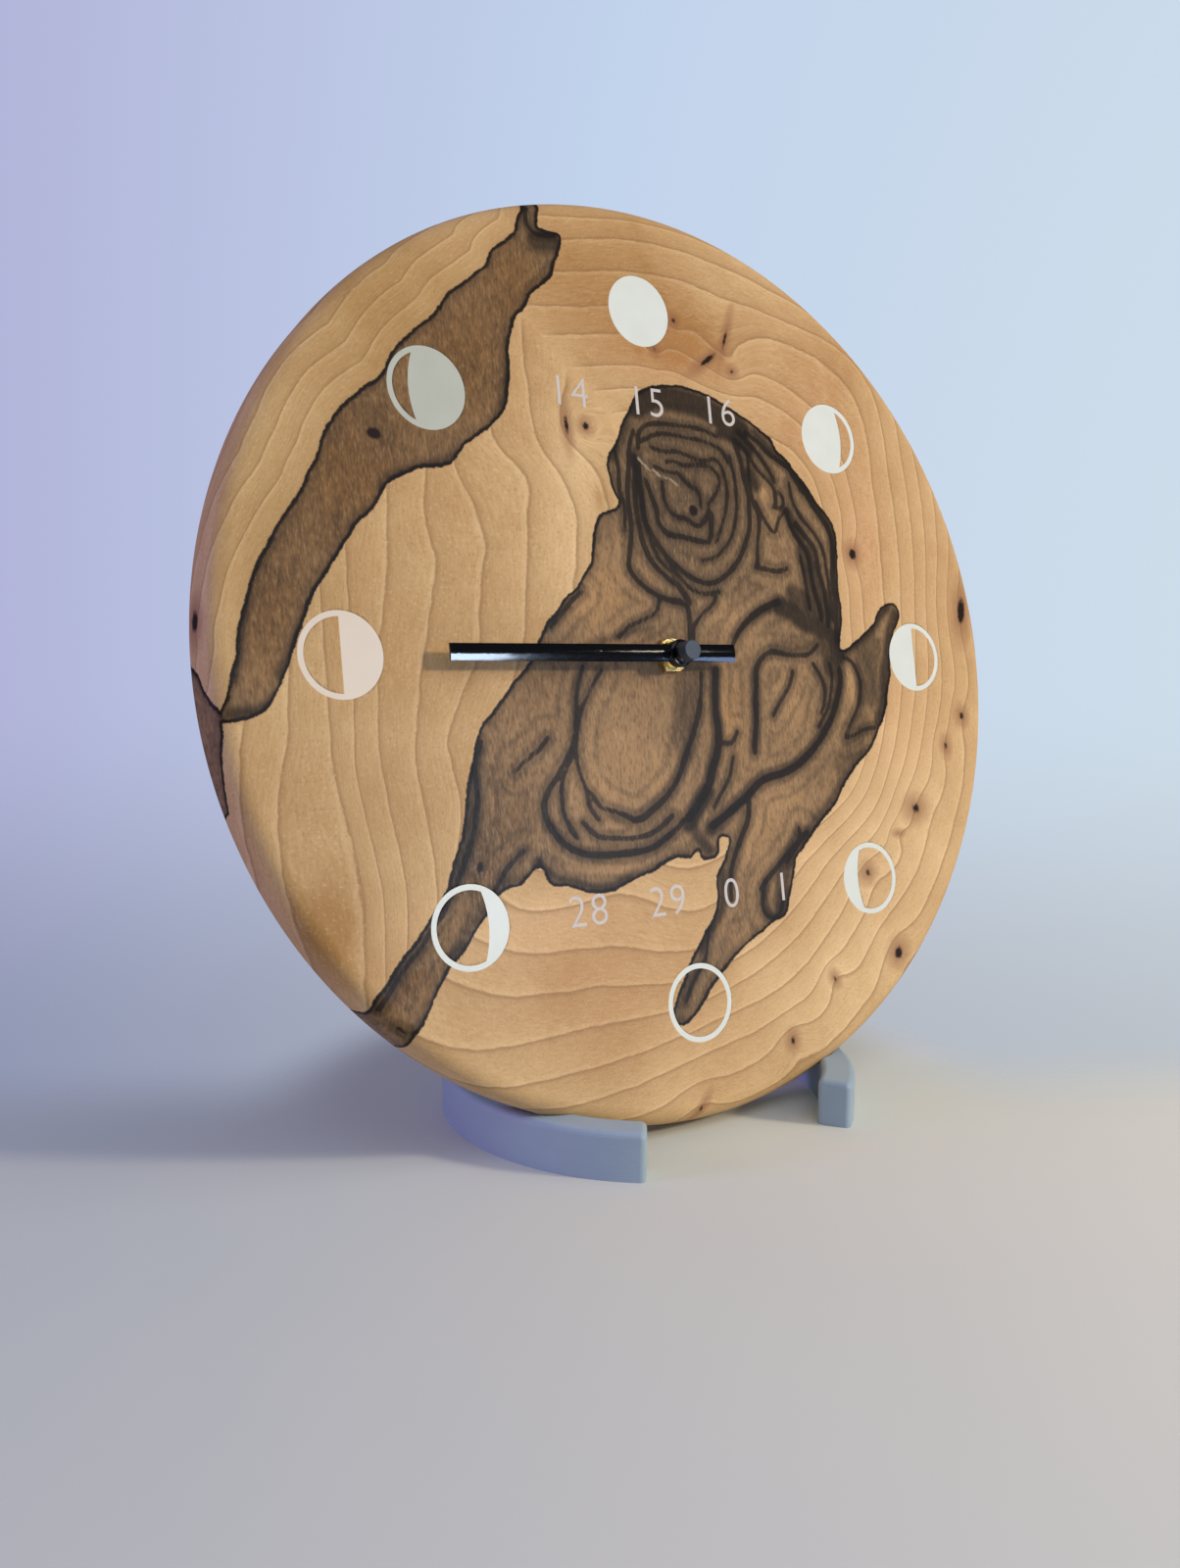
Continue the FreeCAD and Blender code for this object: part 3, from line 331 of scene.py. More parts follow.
# Thin black lines in the heartwood: width in mm at the start and at the end, then the way.
blackLines = [
    # the round whorl at the top
    (1, 1, [3, 51.5, 3, 47.5, 4, 44, 7, 41.5, 10.5, 41, 12, 40, 15, 39, 17.5, 41, 19.5, 44.5]),
    (1.2, 1.5, [-3, 51.5, -1.5, 47.5, 0, 43, 0.5, 39, 3.5, 36, 8, 35.5, 11.5, 35, 15, 34.5, 18, 34.5,
        19.5, 37.5, 20, 43]),
    (1.3, 1.3, [32, 65, 33.5, 60, 34, 54.5, 35.2, 50, 34.9, 44.5, 34.5, 40, 33, 36, 30.5, 31.5, 27.7, 28,
        23.5, 24.5, 19, 22.3, 14.9, 22, 10.6, 23.4, 6.3, 25.9, 2.8, 28.8, -0.8, 33, -3.6, 37.3, -4.7, 41.6,
        -4.7, 47.3, -5, 53, -4.7, 56.5]),
    (0.5, 0.8, [29, 61.5, 30.2, 56, 30.5, 50, 30, 44.4, 28.4, 39.4, 26.3, 35.2, 22.7, 31.6, 19, 29.5,
        14.9, 28.8]),
    (0.7, 0.7, [0, 61.5, 4.5, 60.5, 9, 61, 14, 60, 19, 59, 23.5, 60, 26, 57, 27, 51, 26, 45, 24, 40,
        21, 34.5]),
    (0.8, 0.8, [5, 57.5, 8, 58, 11, 57, 15, 57.5, 20.5, 57.5, 23.5, 55.5, 24.5, 53.5, 23.5, 51, 21.5, 48,
        19, 46]),
    (0.8, 1, [0.5, 56, 5, 54.5, 9, 54.5, 10.5, 53, 13, 51, 15.5, 50, 16.5, 47.5, 16.5, 45]),
    (1, 0.8, [-4.5, 61, -4, 65, -0.8, 68, 5, 69, 10, 69, 15, 69, 20, 68.5, 25, 67]),
    (0.7, 0.7, [-3, 63, 2, 65.5, 8, 66, 14, 65.5, 20, 65, 26, 63, 28.5, 59]),
    (1, 1, [36.3, 61.5, 36, 51.5, 37, 48, 38.4, 43.7, 38, 38.7, 37, 34.5, 36.6, 30, 35.2, 27.3]),
    (0.8, 0.6, [37.7, 48, 39.5, 44.5, 41.5, 41.5, 43.5, 39, 45, 39.5, 46.5, 43, 50, 46.5]),
    # lines that run down left of the whorl to the shaft
    (1.2, 1.2, [-5.8, 65.8, -7.5, 61.5, -8.3, 55.8, -9.3, 50, -9.7, 44.4, -9.3, 38.7, -10, 33, -11, 28.7,
        -11.5, 25.2, -8.6, 21.6, -4.3, 18.7, 0.6, 16.6, 6.3, 15.9, 8.1, 14.5, 8.5, 11.6, 7.8, 5]),
    (1.4, 1, [-6.1, 58, -6.8, 50, -7.2, 44.4, -6.8, 38.7, -5.8, 33, -3.6, 28, 0.6, 23.8, 4.9, 20.9,
        7.8, 18, 9.2, 15.9]),
    (0.8, 0.6, [-3, 33.7, -0.8, 28.7, 3.5, 25.2, 7.8, 21.6, 10.6, 19.8, 14.9, 18.7, 20.6, 19.5]),
    (1, 0.6, [-13, 60, -12, 54, -12.5, 48, -11, 43, -12, 36]),
    # right shoulder and flank
    (1.5, 1, [33.4, 69.4, 37, 66.5, 40.5, 63, 44, 58.7, 46.3, 55]),
    (1.2, 0.9, [31.3, 66.5, 34.9, 64.4, 37.7, 60.8, 39.8, 58, 43, 55.5, 45.5, 53, 46, 49, 45, 46.5]),
    (1.3, 1, [36.3, 69.4, 40.5, 67.2, 44.8, 63.7, 49, 61.5, 52.7, 59.4, 55, 56, 57.5, 52]),
    (0.7, 0.7, [47, 52, 49, 50, 48.5, 47, 46, 46.5]),
    (1.5, 1.7, [57, 56, 60, 50, 64, 45, 67.4, 40, 68, 35, 67.4, 29.5, 66.8, 22.3, 67.2, 18.7, 66.8, 12,
        66, 5]),
    (1.4, 1.5, [50, 46, 51.2, 41, 54, 36.6, 57, 33, 57.7, 27.3, 58.4, 21.6, 60, 16, 60.5, 12]),
    (1.4, 1.6, [53.4, 42, 57.7, 37.3, 60.5, 33.7, 61.2, 27.3, 62.7, 21.6, 63.4, 14.5, 63, 10]),
    (1, 1, [54, 31.6, 54.8, 26, 55.5, 20, 56, 15]),
    (0.8, 1, [52, 55, 53, 49, 56, 44, 60, 40, 63.5, 35, 64.5, 28, 65, 20, 65.2, 12]),
    # from the dark knot on the right to the shaft
    (2.2, 1, [43, 17, 37, 15, 32, 12, 28, 9, 25, 5.5, 23.5, 3]),
    (1.2, 1.1, [36, 27.5, 40, 27, 44, 26.5, 48, 27.5]),
    (0.9, 0.7, [9, 4, 10, 9, 14, 13, 18, 16, 19, 18.5]),
    # the whorl at the right, below the hand
    (1, 1.6, [58, 4, 54, 1, 50, 0.5, 45, 0.5, 40, 1.5, 37, 1, 34, -1, 32, -4, 31.5, -8, 30.5, -14,
        30, -20, 29, -25, 28.5, -29]),
    (1.8, 2, [66, -4, 66, -8, 64, -13, 61, -19, 57, -24, 53, -28, 49, -31, 44, -34, 38, -36, 32, -37,
        28, -39, 24, -42, 19, -45, 14, -48, 10, -50]),
    (1, 1, [55, -2, 57, -5, 59, -9, 58.5, -14, 56.5, -18]),
    (0.9, 0.9, [62, -2, 62.5, -7, 61, -13, 59, -17, 55, -22]),
    (0.6, 0.9, [46.5, -4.5, 44.5, -9, 41, -13, 37, -18]),
    # streaks down the middle
    (2, 2.4, [16.5, -4, 15.5, -10, 15, -16, 15.5, -22, 14.5, -28, 12, -33, 10, -38, 6, -43, 2, -47]),
    (1.2, 0.8, [15, -24.5, 17.5, -26, 20.5, -25.5, 22.5, -22.5]),
    (0.8, 0.6, [20, -30, 18, -36, 14, -41, 11, -45]),
    (0.7, 0.7, [11, -5, 10, -12, 7.5, -19, 4.5, -25, 1, -31]),
    # the large whorl at the left, below the hand
    (0.8, 1.7, [-30, -3, -32.5, -10, -33.5, -17, -35.5, -25, -38, -29, -41, -33, -44.5, -37, -46, -41,
        -45.5, -45, -43, -49, -40, -52, -35, -54.5, -28, -55.5, -20, -55.5]),
    (1.7, 1.2, [-20, -55.5, -13, -55, -8, -53, -3, -50, 0, -47.5]),
    (0.6, 1, [-35.5, -27, -38.5, -32, -40, -36, -40.2, -42, -39, -46, -36.5, -50]),
    (0.7, 0.9, [-24, -4, -27, -8, -30.5, -13, -33, -19, -34.5, -26, -34, -32, -32.2, -37, -31.5, -42,
        -29, -45.5]),
    (0.7, 1.6, [-31, -38, -28, -42, -24, -43.5, -20, -45, -17, -46.5, -14, -46]),
    (1.6, 0.9, [-14, -46, -10, -43.5, -6, -41, -2, -37, 0, -34, 3, -29, 5.5, -24, 8, -19, 10, -14]),
    (1.1, 1.1, [-34, -46, -30, -50, -24, -51, -17, -51.5, -10, -50, -4, -46]),
    (1, 0.5, [-43, -22.5, -46, -25.5, -50, -28, -54.5, -31.5]),
    # level lines just above the hand
    (0.7, 0.7, [-2, 17, -3, 13, -8, 10.5, -13, 8.5, -17, 5.5]),
    (0.6, 0.5, [-39, 8, -35, 12, -31, 16, -28, 18]),
    # the leg to the lower left
    (1, 1.2, [-63.5, -23, -66, -30, -65.5, -36, -66.5, -42, -68, -47, -70, -52, -72, -56, -75, -61,
        -79, -67]),
    (0.9, 0.9, [-80, -68, -84, -73, -87, -76, -91, -80, -95, -85, -98, -88.5]),
    (0.8, 0.8, [-74, -78, -78, -83, -81, -88, -84, -92, -87, -94.5, -90, -95, -93, -93.5]),
    (0.8, 0.6, [-53, -52, -57, -55, -60, -58, -63, -62]),
    # the tongue at the bottom
    (1.6, 1.2, [46, -54.5, 42, -57.5, 38, -60, 33, -64, 29, -67, 26, -70]),
    (1, 1, [43, -53, 43, -56, 40, -60, 37, -63]),
    (1.3, 1.2, [24.5, -43, 23.5, -49, 20, -54.5, 17, -60, 15, -65, 14.5, -72]),
    (1, 1, [27, -70, 26, -75, 28, -78.5, 31.5, -78.5, 33.5, -76, 34.5, -72]),
    (0.8, 0.8, [6, -78, 4.5, -83, 3, -88, -2, -94, -5, -99]),
    # the arm to the right
    (1.2, 0.8, [68, 0, 72, -2, 74.5, -8, 73, -15, 69, -21, 66, -25]),
    (0.9, 0.6, [66, -26, 70, -25, 74, -23.5, 79, -23]),
    # inside the band
    (0.9, 0.7, [-35, 128, -36, 122, -33, 119, -27, 119.5]),
]

# Soft dark stains: width in mm, how dark from 0 to 1, then the way.
darkStains = [
    (9, 1, [-4, 73, 3, 76.5, 12, 76.5, 20, 75.5, 29, 72, 34, 70]),
    (5, 1, [27, 68.5, 33, 67, 37, 64]),
    (3, 0.8, [40, 70, 46, 65, 53, 59, 58, 54, 64, 47, 68, 40, 68, 28]),
    (2.5, 0.8, [-14, 57, -10, 64, -7, 70]),
    (3.5, 0.8, [-5.5, 60, -6, 52, -5, 44, -4, 36]),
    (5, 0.95, [36.5, 56.5, 38.5, 53]),
    (5, 0.9, [50, 45.5, 52, 42, 55, 37.5]),
    (8, 0.75, [56, 33, 58.5, 25, 60, 18, 62, 12]),
    (8, 1, [44, 15.5, 48, 14.5, 53, 11, 60, 9, 65, 5, 65.5, 0]),
    (9, 0.8, [50, 19, 56, 15, 62, 5, 63, -3]),
    (3, 0.8, [40, 15, 34, 13, 29, 9.5, 25, 6]),
    (6, 0.5, [58, 3, 53, 3.5, 47, 3, 40, 3]),
    (9, 0.45, [5.5, -5, 4.5, -12, 3, -19, 1.5, -24]),
    (4.5, 0.75, [16, -5, 15, -15, 15, -24, 13, -30, 10.5, -36]),
    (6.5, 1, [9, -40, 4.5, -45, 2, -49]),
    (4.5, 0.85, [3, -50, 5.5, -54, 8, -57]),
    (4.5, 0.95, [9, -51, 14, -48, 19, -45, 25, -41]),
    (4.5, 0.75, [25, -40, 30, -37.5, 38, -35.5, 45, -33, 52, -28.5, 59, -21, 64, -13, 65.5, -6]),
    (4, 0.6, [31, -5, 30.5, -14, 29.5, -22, 28.5, -27]),
    (3.2, 0.9, [-47, -58, -43, -60.5, -38, -62, -32, -64, -26, -64, -20, -62]),
    (2.2, 0.8, [-20, -62, -10, -60, 0, -57.5]),
    (4, 1, [-49, -55.5, -47.5, -59.5]),
    (3, 0.75, [-44, -46, -40, -51.5, -33, -55, -22, -55.5, -12, -54.5, -5, -51]),
    (4.5, 0.5, [-24, -45, -17, -46, -10, -43, -2, -36, 4, -28]),
    (3, 0.55, [-33, -7, -33.5, -15, -34.5, -23, -37, -28]),
    (5, 0.55, [-64.5, -24, -67, -33, -67.5, -42, -70, -50, -73.5, -57, -78, -64]),
    (4, 0.5, [-55, -60, -60, -60, -66, -65, -72, -72]),
    (3.5, 0.9, [-74, -74.5, -77.5, -77.5]),
    (3.5, 0.95, [67, 1, 73, 3.5, 80, 7.5, 85, 12.5, 90, 16.5]),
    (5, 0.85, [93, 14, 90, 8, 87.5, 0, 85, -8, 84, -15, 81, -21]),
    (12, 0.45, [80, 3, 77.5, -5, 77, -12]),
    (9, 0.45, [74, -20, 70, -26, 64, -34]),
    (5, 0.65, [72, -31.5, 65, -38, 58, -45.5, 50, -51.5, 44, -57]),
    (6, 0.75, [42, -56, 37.5, -62, 34.5, -68, 33, -76]),
    (3, 0.8, [28, -68, 27, -74, 29, -78.5]),
    (3.5, 0.9, [11.5, -63, 12, -70, 10, -75.5, 5.5, -80, 2, -85]),
    (4, 0.5, [23.5, -46, 20, -54, 17, -60, 14, -68]),
    (4, 0.5, [0, -90, -5, -97, -7.5, -103]),
    (2.2, 0.7, [-5, 8, -12, 7, -20, 5, -28, 3]),
    (2.5, 0.5, [-11, 26, -7, 20.5, 0, 17, 7, 15]),
    (2.6, 0.9, [-45.2, 87, -45.6, 80, -46.4, 75]),
    (2, 0.8, [-47, 72, -52, 62, -60, 56, -70, 50.5, -80, 47.5, -86, 43]),
    (2.6, 0.8, [-99, 24, -103, 19, -108, 11, -112, 2, -116, -5]),
    (4, 0.9, [-117, -10.5, -121, -13.5, -128, -14]),
    (6.5, 0.85, [-33.5, 117, -28, 117.5]),
    (2.4, 0.8, [-122.5, 13, -125, 3, -127, -6]),
    (2, 0.6, [-31, 124, -33, 121]),
]

# A pale scratch across the whorl: width in mm, then the way.
paleScratch = (0.6, [-5, 57.8, -3, 55.8, 0, 54.5, 3, 53, 5.5, 52.5, 8.5, 51])

# Clouds in the heartwood: place, half widths, how much lighter, how much warmer.
heartClouds = [
    (-22, 15, 13, 10, 0.75, 0.3), (-48, -13, 12, 10, 0.05, 0.3), (-20, -22, 12, 18, 0.35, 0),
    (44, -15, 10, 14, 0.5, 0), (36, -47, 12, 8, 0.6, 0), (24, -58, 7, 9, 0.7, 0), (24, 11, 10, 6, 0.6, 0),
    (42, 52, 2.5, 3.5, 0.8, 0), (44, 43, 2, 3, 0.9, 0), (-28, -60, 14, 2, 0.6, 0),
    (71, -9, 2.5, 9, 1.2, 0), (77.5, -18, 2.2, 2.2, 1, 0), (10, 50, 22, 22, -0.45, 0),
    (62, 38, 5, 10, 0.25, 0), (-55, -42, 8, 12, -0.1, 0.4), (10, -70, 10, 6, 0.1, 0),
    (5, -16, 6, 12, -0.3, 0), (-90, -82, 10, 10, -0.4, 1), (20, -18, 7, 13, 0.8, 0.4),
    (-5, -10, 8, 10, 0.2, 0), (57, -10, 3, 10, -0.2, 0), (-95, 45, 25, 25, -0.35, 1),
    (-60, 80, 20, 20, -0.35, 1), (-118, 10, 12, 20, -0.3, 0.8), (-40, 105, 12, 15, -0.3, 0.9),
    (-72, -55, 12, 15, -0.5, 0.6), (78, 0, 12, 15, -0.25, 0), (21, 40, 6, 10, 0.15, 0),
    (-17, 30, 5, 8, 0.35, 0), (33, -30, 5, 4, 0.3, 0), (-30, -42, 12, 12, 0.65, 0),
    (-6, -34, 8, 8, 0.6, 0),
]

# Clouds in the sapwood: place, half widths, how much paler, how much warmer.
sapClouds = [
    (-25, 50, 8, 20, 0.6, 0.1), (10, 87, 30, 5, -0.1, 0.5), (82, 35, 12, 30, -0.1, 0.9),
    (60, 75, 20, 20, -0.15, 0.6), (-30, -90, 45, 20, -0.25, 0.4), (80, -55, 40, 35, 0.55, 0.1),
    (50, -100, 35, 20, 0.6, 0), (110, 30, 15, 40, 0, 0.3), (-110, -68, 10, 13, -0.9, -0.2),
    (75, 95, 25, 20, -0.35, 0.1), (-8, 115, 32, 20, -0.8, -0.1), (-85, 95, 35, 35, -0.75, -0.6),
    (-115, 30, 15, 40, -0.3, -0.6), (-70, 10, 30, 35, -0.35, -0.1), (-95, -45, 25, 35, -0.25, -0.3),
    (90, -20, 20, 20, 0.1, 0.5), (-19, 45, 3, 5, -0.9, -0.3), (45, -62, 10, 8, 0.2, 0.4),
    (10, 95, 24, 10, -0.95, 0.3), (-50, -72, 30, 8, 0.3, 0.6), (-35, 35, 8, 20, 0.4, 0.1),
]

# Small knots: place, half widths and turn in degrees, and how dark the eye is.
knots = [
    (-86.5, 57, 2.2, 1.6, -10, 1), (-28.4, 65, 1, 4, 3, 0.7), (-22, 65.5, 1.3, 1.3, 0, 0.9),
    (76.5, 33.5, 1.6, 1.8, 0, 1), (-66.5, -55.5, 1.4, 1.6, 0, 0.9), (12.5, 101, 1.2, 1.4, 0, 0.6),
    (4.5, 91.2, 1, 1.2, 30, 0.6), (24, 90.5, 4.5, 0.9, 35, 0.9), (31.5, 98, 0.8, 5, -20, 0.7),
    (33, 88, 1.4, 1.2, 0, 0.5), (13.5, 43.5, 1.8, 1.8, 0, 1), (94, -50, 3, 2.4, 0, 0.6),
    (80, -95.5, 2.2, 2.4, -30, 0.8), (33, -116, 1.4, 1.8, 0, 0.6), (52, -100, 1.2, 1.6, 20, 0.5),
    (120, -20, 1.6, 2, 0, 0.6), (111, -30, 1.4, 2, 0, 0.5), (125, 16, 2, 5, -10, 0.9),
    (-137.8, 9.6, 1.6, 2.8, 0, 1), (70, -69, 2, 2, 0, 0.5), (-3, -130, 3, 0.8, 50, 0.6),
    (85, -57.5, 1.4, 0.8, 0, 0.5),
]

# Growth rings. Left of the figure they run down the face: x of each line at these heights.
leftHeights = [-100, -80, -60, -40, -28, -20, 0, 10, 24, 30, 40, 50, 60, 80]
leftLines = [
    (-150, -150, -150, -150, -150, -150, -150, -150, -150, -150, -150, -150, -150, -150),
    (-140, -140, -140, -140, -139, -138, -136, -135, -134, -134, -133, -133, -133, -133),
    (-128, -128, -128, -128, -127, -126, -122, -120, -120, -120, -120, -120, -120, -120),
    (-114, -115, -118, -119, -117, -115, -113, -113, -112, -112, -110, -110, -110, -110),
    (-100, -100, -99, -102, -104, -104, -104, -104, -104, -104, -102, -100, -100, -100),
    (-95, -95, -94, -97, -98.5, -98, -97, -97, -96.5, -96, -94, -92, -90, -90),
    (-88, -89, -87.5, -90, -91.5, -91.7, -90, -88, -85.5, -85, -84, -82, -80, -80),
    (-80, -82, -79, -80.5, -82, -81.5, -77.5, -75, -71.5, -73, -74, -72, -70, -70),
    (-74, -76, -73, -70.5, -72, -72, -62, -60.5, -58, -56.5, -59, -64, -66, -60),
    (-65, -66, -65, -62, -60, -58, -49, -46.5, -44.5, -44, -43, -42.5, -52, -50),
    (-55, -55, -55, -52, -48, -46, -36, -33, -29, -28, -27.5, -30, -34, -40),
    (-40, -40, -40, -40, -38, -36, -25, -22, -18, -17, -16, -18, -20, -25),
]
# Round the rest they follow the figure: distance of each line from the middle at these bearings.
ringBearings = [-150, -130, -110, -90, -70, -50, -30, -10, 10, 30, 47, 65, 90, 105, 125, 150]
ringLines = [
    (70, 66, 52, 50, 52, 60, 70, 68, 68, 78, 86, 80, 79, 79, 85, 85),
    (80, 76, 60, 62, 60, 66, 76, 74, 74, 85.5, 95, 92, 86, 86, 92, 92),
    (92, 88, 71, 74, 70, 72, 80, 80, 80, 92, 103, 100, 95, 95, 100, 100),
    (105, 100, 86, 85, 80, 78, 85, 87, 90, 103, 121, 113, 104, 103, 110, 110),
    (118, 113, 97, 93, 88, 84, 91, 93, 98, 112, 130, 120, 114, 113, 120, 120),
    (134, 129, 108, 100, 95, 91, 97, 99, 105, 120, 138, 128, 123.5, 122, 130, 130),
    (145, 140, 120, 107, 104, 98, 103, 105, 111, 127, 146, 135, 129, 129, 140, 140),
    (155, 150, 129, 115, 112, 106, 110, 112, 117, 134, 154, 142, 136, 136, 150, 150),
    (165, 160, 138, 124, 120, 115, 117, 119, 123, 141, 162, 149, 143, 143, 160, 160),
    (175, 170, 147, 133, 129, 125, 125, 126, 129, 147, 170, 156, 150, 150, 170, 170),
]

# The leg's middle, which parts the two families of growth lines below the hand.
legHeights = [-140, -93, -80, -62, -40, -20, 0, 30]
legPlaces = [-140, -96, -86, -73, -66, -60, -40, -15]
# The band's middle, beyond which the growth lines follow its edge.
bandHeights = [-16, 0, 20, 40, 50, 60, 70, 90, 100, 110, 120, 150]
bandPlaces = [-126, -119.5, -111, -97, -90, -77, -66, -56, -48, -39, -33, -33]

def rounded(points, closed=False, steps=3):
    # a smooth way through given points, whose x and y come in turn
    points = np.reshape(points, (-1, 2)).astype(float)
    count = len(points)
    ends = [points[-1], *points, points[0], points[1]] if closed else [points[0], *points, points[-1]]
    ends = np.array(ends)
    way = []
    for index in range(count if closed else count - 1):
        a, b, c, d = ends[index:index + 4]
        for step in range(steps):
            t = step / steps
            bend = (2 * a - 5 * b + 4 * c - d) * t * t + (3 * b - a - 3 * c + d) * t ** 3
            way.append(0.5 * (2 * b + (c - a) * t + bend))
    way.append(points[0] if closed else points[-1])
    return np.array(way)


def distanceToWay(places, way, halfWidths=None):
    # least distance to a run of short straight pieces, less each piece's own half width
    best = np.full(len(places), np.inf)
    for index in range(len(way) - 1):
        start, run = way[index], way[index + 1] - way[index]
        share = np.clip(((places - start) @ run) / max(run @ run, 1e-12), 0, 1)
        gap = np.linalg.norm(places - start - share[:, None] * run, axis=1)
        if halfWidths is not None:
            gap -= halfWidths[index] + share * (halfWidths[index + 1] - halfWidths[index])
        best = np.minimum(best, gap)
    return best


def insideOutline(places, way):
    inside = np.zeros(len(places), bool)
    for (ax, ay), (bx, by) in zip(way[:-1], way[1:]):
        crosses = (ay > places[:, 1]) != (by > places[:, 1])
        if ay != by:
            inside ^= crosses & (places[:, 0] < ax + (places[:, 1] - ay) * (bx - ax) / (by - ay))
    return inside


def countLines(rowPlaces, lines, rows, values):
    # how many growth lines lie between the first line and each value, with its fraction
    ways = [rounded(list(zip(rowPlaces, line)), steps=6) for line in lines]
    table = np.array([np.interp(rows, way[:, 0], way[:, 1]) for way in ways])
    count = np.zeros(len(rows))
    last = len(lines) - 2
    for index, (lower, upper) in enumerate(zip(table[:-1], table[1:])):
        # the lines go on, evenly spaced, before the first and after the last
        least, most = (0 if index else -9), (1 if index < last else 9)
        count += np.clip((values - lower) / (upper - lower), least, most)
    return count


figureNames = (
    "heartEdge", "inkEdge", "stain", "scratch", "heartPale", "heartWarm", "sapPale", "sapWarm", "knotReach",
    "ringPhase", "ringAlong", "ringFade",
)
figureRules = {
    "reach": 9.0,  # how far round a line its ink and stain are looked for
    "farAway": 9.0,  # what stands for no ink and no knot near
    "leastInk": 0.8,  # mm
    "stainRim": 1.2,  # mm beyond half the width, where a stain ends
    "stainSoft": 2.6,  # mm over which it fades
    "bulge": 0.55,  # growth lines that a knot pushes aside
    "bulgeReach": 2.2,  # times the sum of the knot's half widths
    "bandStep": 6.5,  # mm from one growth line to the next beyond the band
    "ringStart": 30,  # the lines' first numbers, which keep the three families apart
    "bandStart": 60,
    "aboveHand": 30.0,
    "shoulder": (-16.0, 50.0, 0.70, 0.72),  # a point of the slanting border and its direction
    "shoulderEnd": 16.0,
    "shoulderFade": 5.0,
    "shoulderRight": (-5.0, 10.0),
    "bandFoot": -16.0,
}


def nearWay(places, way):
    reach = figureRules["reach"]
    return np.all((places > way.min(0) - reach) & (places < way.max(0) + reach), axis=1)


def readFigure(places):
    # places are in the units of the drawing; gives one value for each vertex and each name
    rules = figureRules
    x, y = places.T
    count = len(places)
    edges = {}
    for name, outline in heartwood.items():
        way = rounded(outline, closed=True)
        gap = distanceToWay(places, way) * unit
        edges[name] = np.where(insideOutline(places, way), -gap, gap)
    figure = {"heartEdge": np.min(list(edges.values()), axis=0)}

    ink = np.full(count, rules["farAway"])
    for startWidth, endWidth, points in blackLines:
        way = rounded(points)
        near = nearWay(places, way)
        widths = np.linspace(startWidth, endWidth, len(way)).clip(rules["leastInk"])
        ink[near] = np.minimum(ink[near], distanceToWay(places[near], way, widths / 2 / unit) * unit)
    stain = np.zeros(count)
    for width, darkness, points in darkStains:
        way = rounded(points)
        near = nearWay(places, way)
        gap = distanceToWay(places[near], way) * unit
        falloff = np.clip((width / 2 + rules["stainRim"] - gap) / rules["stainSoft"], 0, 1)
        stain[near] = np.maximum(stain[near], darkness * falloff * falloff * (3 - 2 * falloff))
    width, points = paleScratch
    scratch = distanceToWay(places, rounded(points)) * unit - width / 2
    figure.update(inkEdge=ink, stain=stain, scratch=scratch)

    for wood, clouds in (("heart", heartClouds), ("sap", sapClouds)):
        pale, warm = np.zeros(count), np.zeros(count)
        for midX, midY, halfX, halfY, paler, warmer in clouds:
            weight = np.exp(-((x - midX) / halfX) ** 2 - ((y - midY) / halfY) ** 2)
            pale += paler * weight
            warm += warmer * weight
        figure[wood + "Pale"], figure[wood + "Warm"] = pale, warm

    # each knot has a dark eye and pushes the growth lines aside
    knotReach = np.full(count, rules["farAway"])
    bulge = np.zeros(count)
    for midX, midY, halfX, halfY, turn, darkness in knots:
        c, s = math.cos(math.radians(turn)), math.sin(math.radians(turn))
        dx, dy = x - midX, y - midY
        ratio = np.hypot((dx * c + dy * s) / halfX, (dy * c - dx * s) / halfY)
        knotReach = np.minimum(knotReach, ratio + (1 - darkness))
        away = np.hypot(dx, dy) / (rules["bulgeReach"] * (halfX + halfY))
        bulge += rules["bulge"] * np.exp(-away ** 2)

    distance, bearing = np.hypot(x, y), np.arctan2(y, x)
    ring = countLines(ringBearings, ringLines, np.degrees(bearing), distance) + bulge
    left = countLines(leftHeights, leftLines, y, x) + bulge
    # the left side ends at the figure: at its shoulder above, along its leg below
    pointX, pointY, wayX, wayY = rules["shoulder"]
    shoulder = (x - pointX) * wayX + (y - pointY) * wayY
    leftMost, rightMost = rules["shoulderRight"]
    above = y > rules["aboveHand"]
    onShoulder = (x < leftMost) & (shoulder < rules["shoulderEnd"])
    onLeft = np.where(above, onShoulder, x < np.interp(y, legHeights, legPlaces))
    beyondBand = (x < np.interp(y, bandHeights, bandPlaces)) & (y > rules["bandFoot"])
    phase = np.where(onLeft, left, ring + rules["ringStart"])
    phase = np.where(beyondBand, edges["band"] / rules["bandStep"] + rules["bandStart"], phase)
    along = np.where(onLeft | beyondBand, y, bearing * distance) * unit
    # the two families fade out where they meet on the open shoulder
    border = above & (x < rightMost) & ~beyondBand
    beside = np.abs(shoulder - rules["shoulderEnd"]) / rules["shoulderFade"]
    fade = np.where(border, beside.clip(0, 1), 1)
    figure.update(knotReach=knotReach, ringPhase=phase, ringAlong=along, ringFade=fade)
    return figure


# The wooden disc, in mm: a fine grid for the face, so that each vertex can carry the figure.
disc = {
    "gridCells": 272,
    "edgeRound": 5.75,
    "roundSteps": 5,
    "wallSteps": 4,
    "boreRadius": 4.2,
    "boreSides": 64,
    "pocketWidth": 62.0,
    "pocketCorner": 6.0,
    "cornerSteps": 8,
    "pocketDepth": 14.0,
    "proud": 1.0,  # how far the cutters stand out of the wood
    "hair": 0.002,  # the least gap that counts, where vertices and edges are picked by place
    "skin": 0.2,  # how near the back a face must lie to look like the back
    "edgeReach": 0.004,  # how much further out the edge reads the figure, for each mm down
}


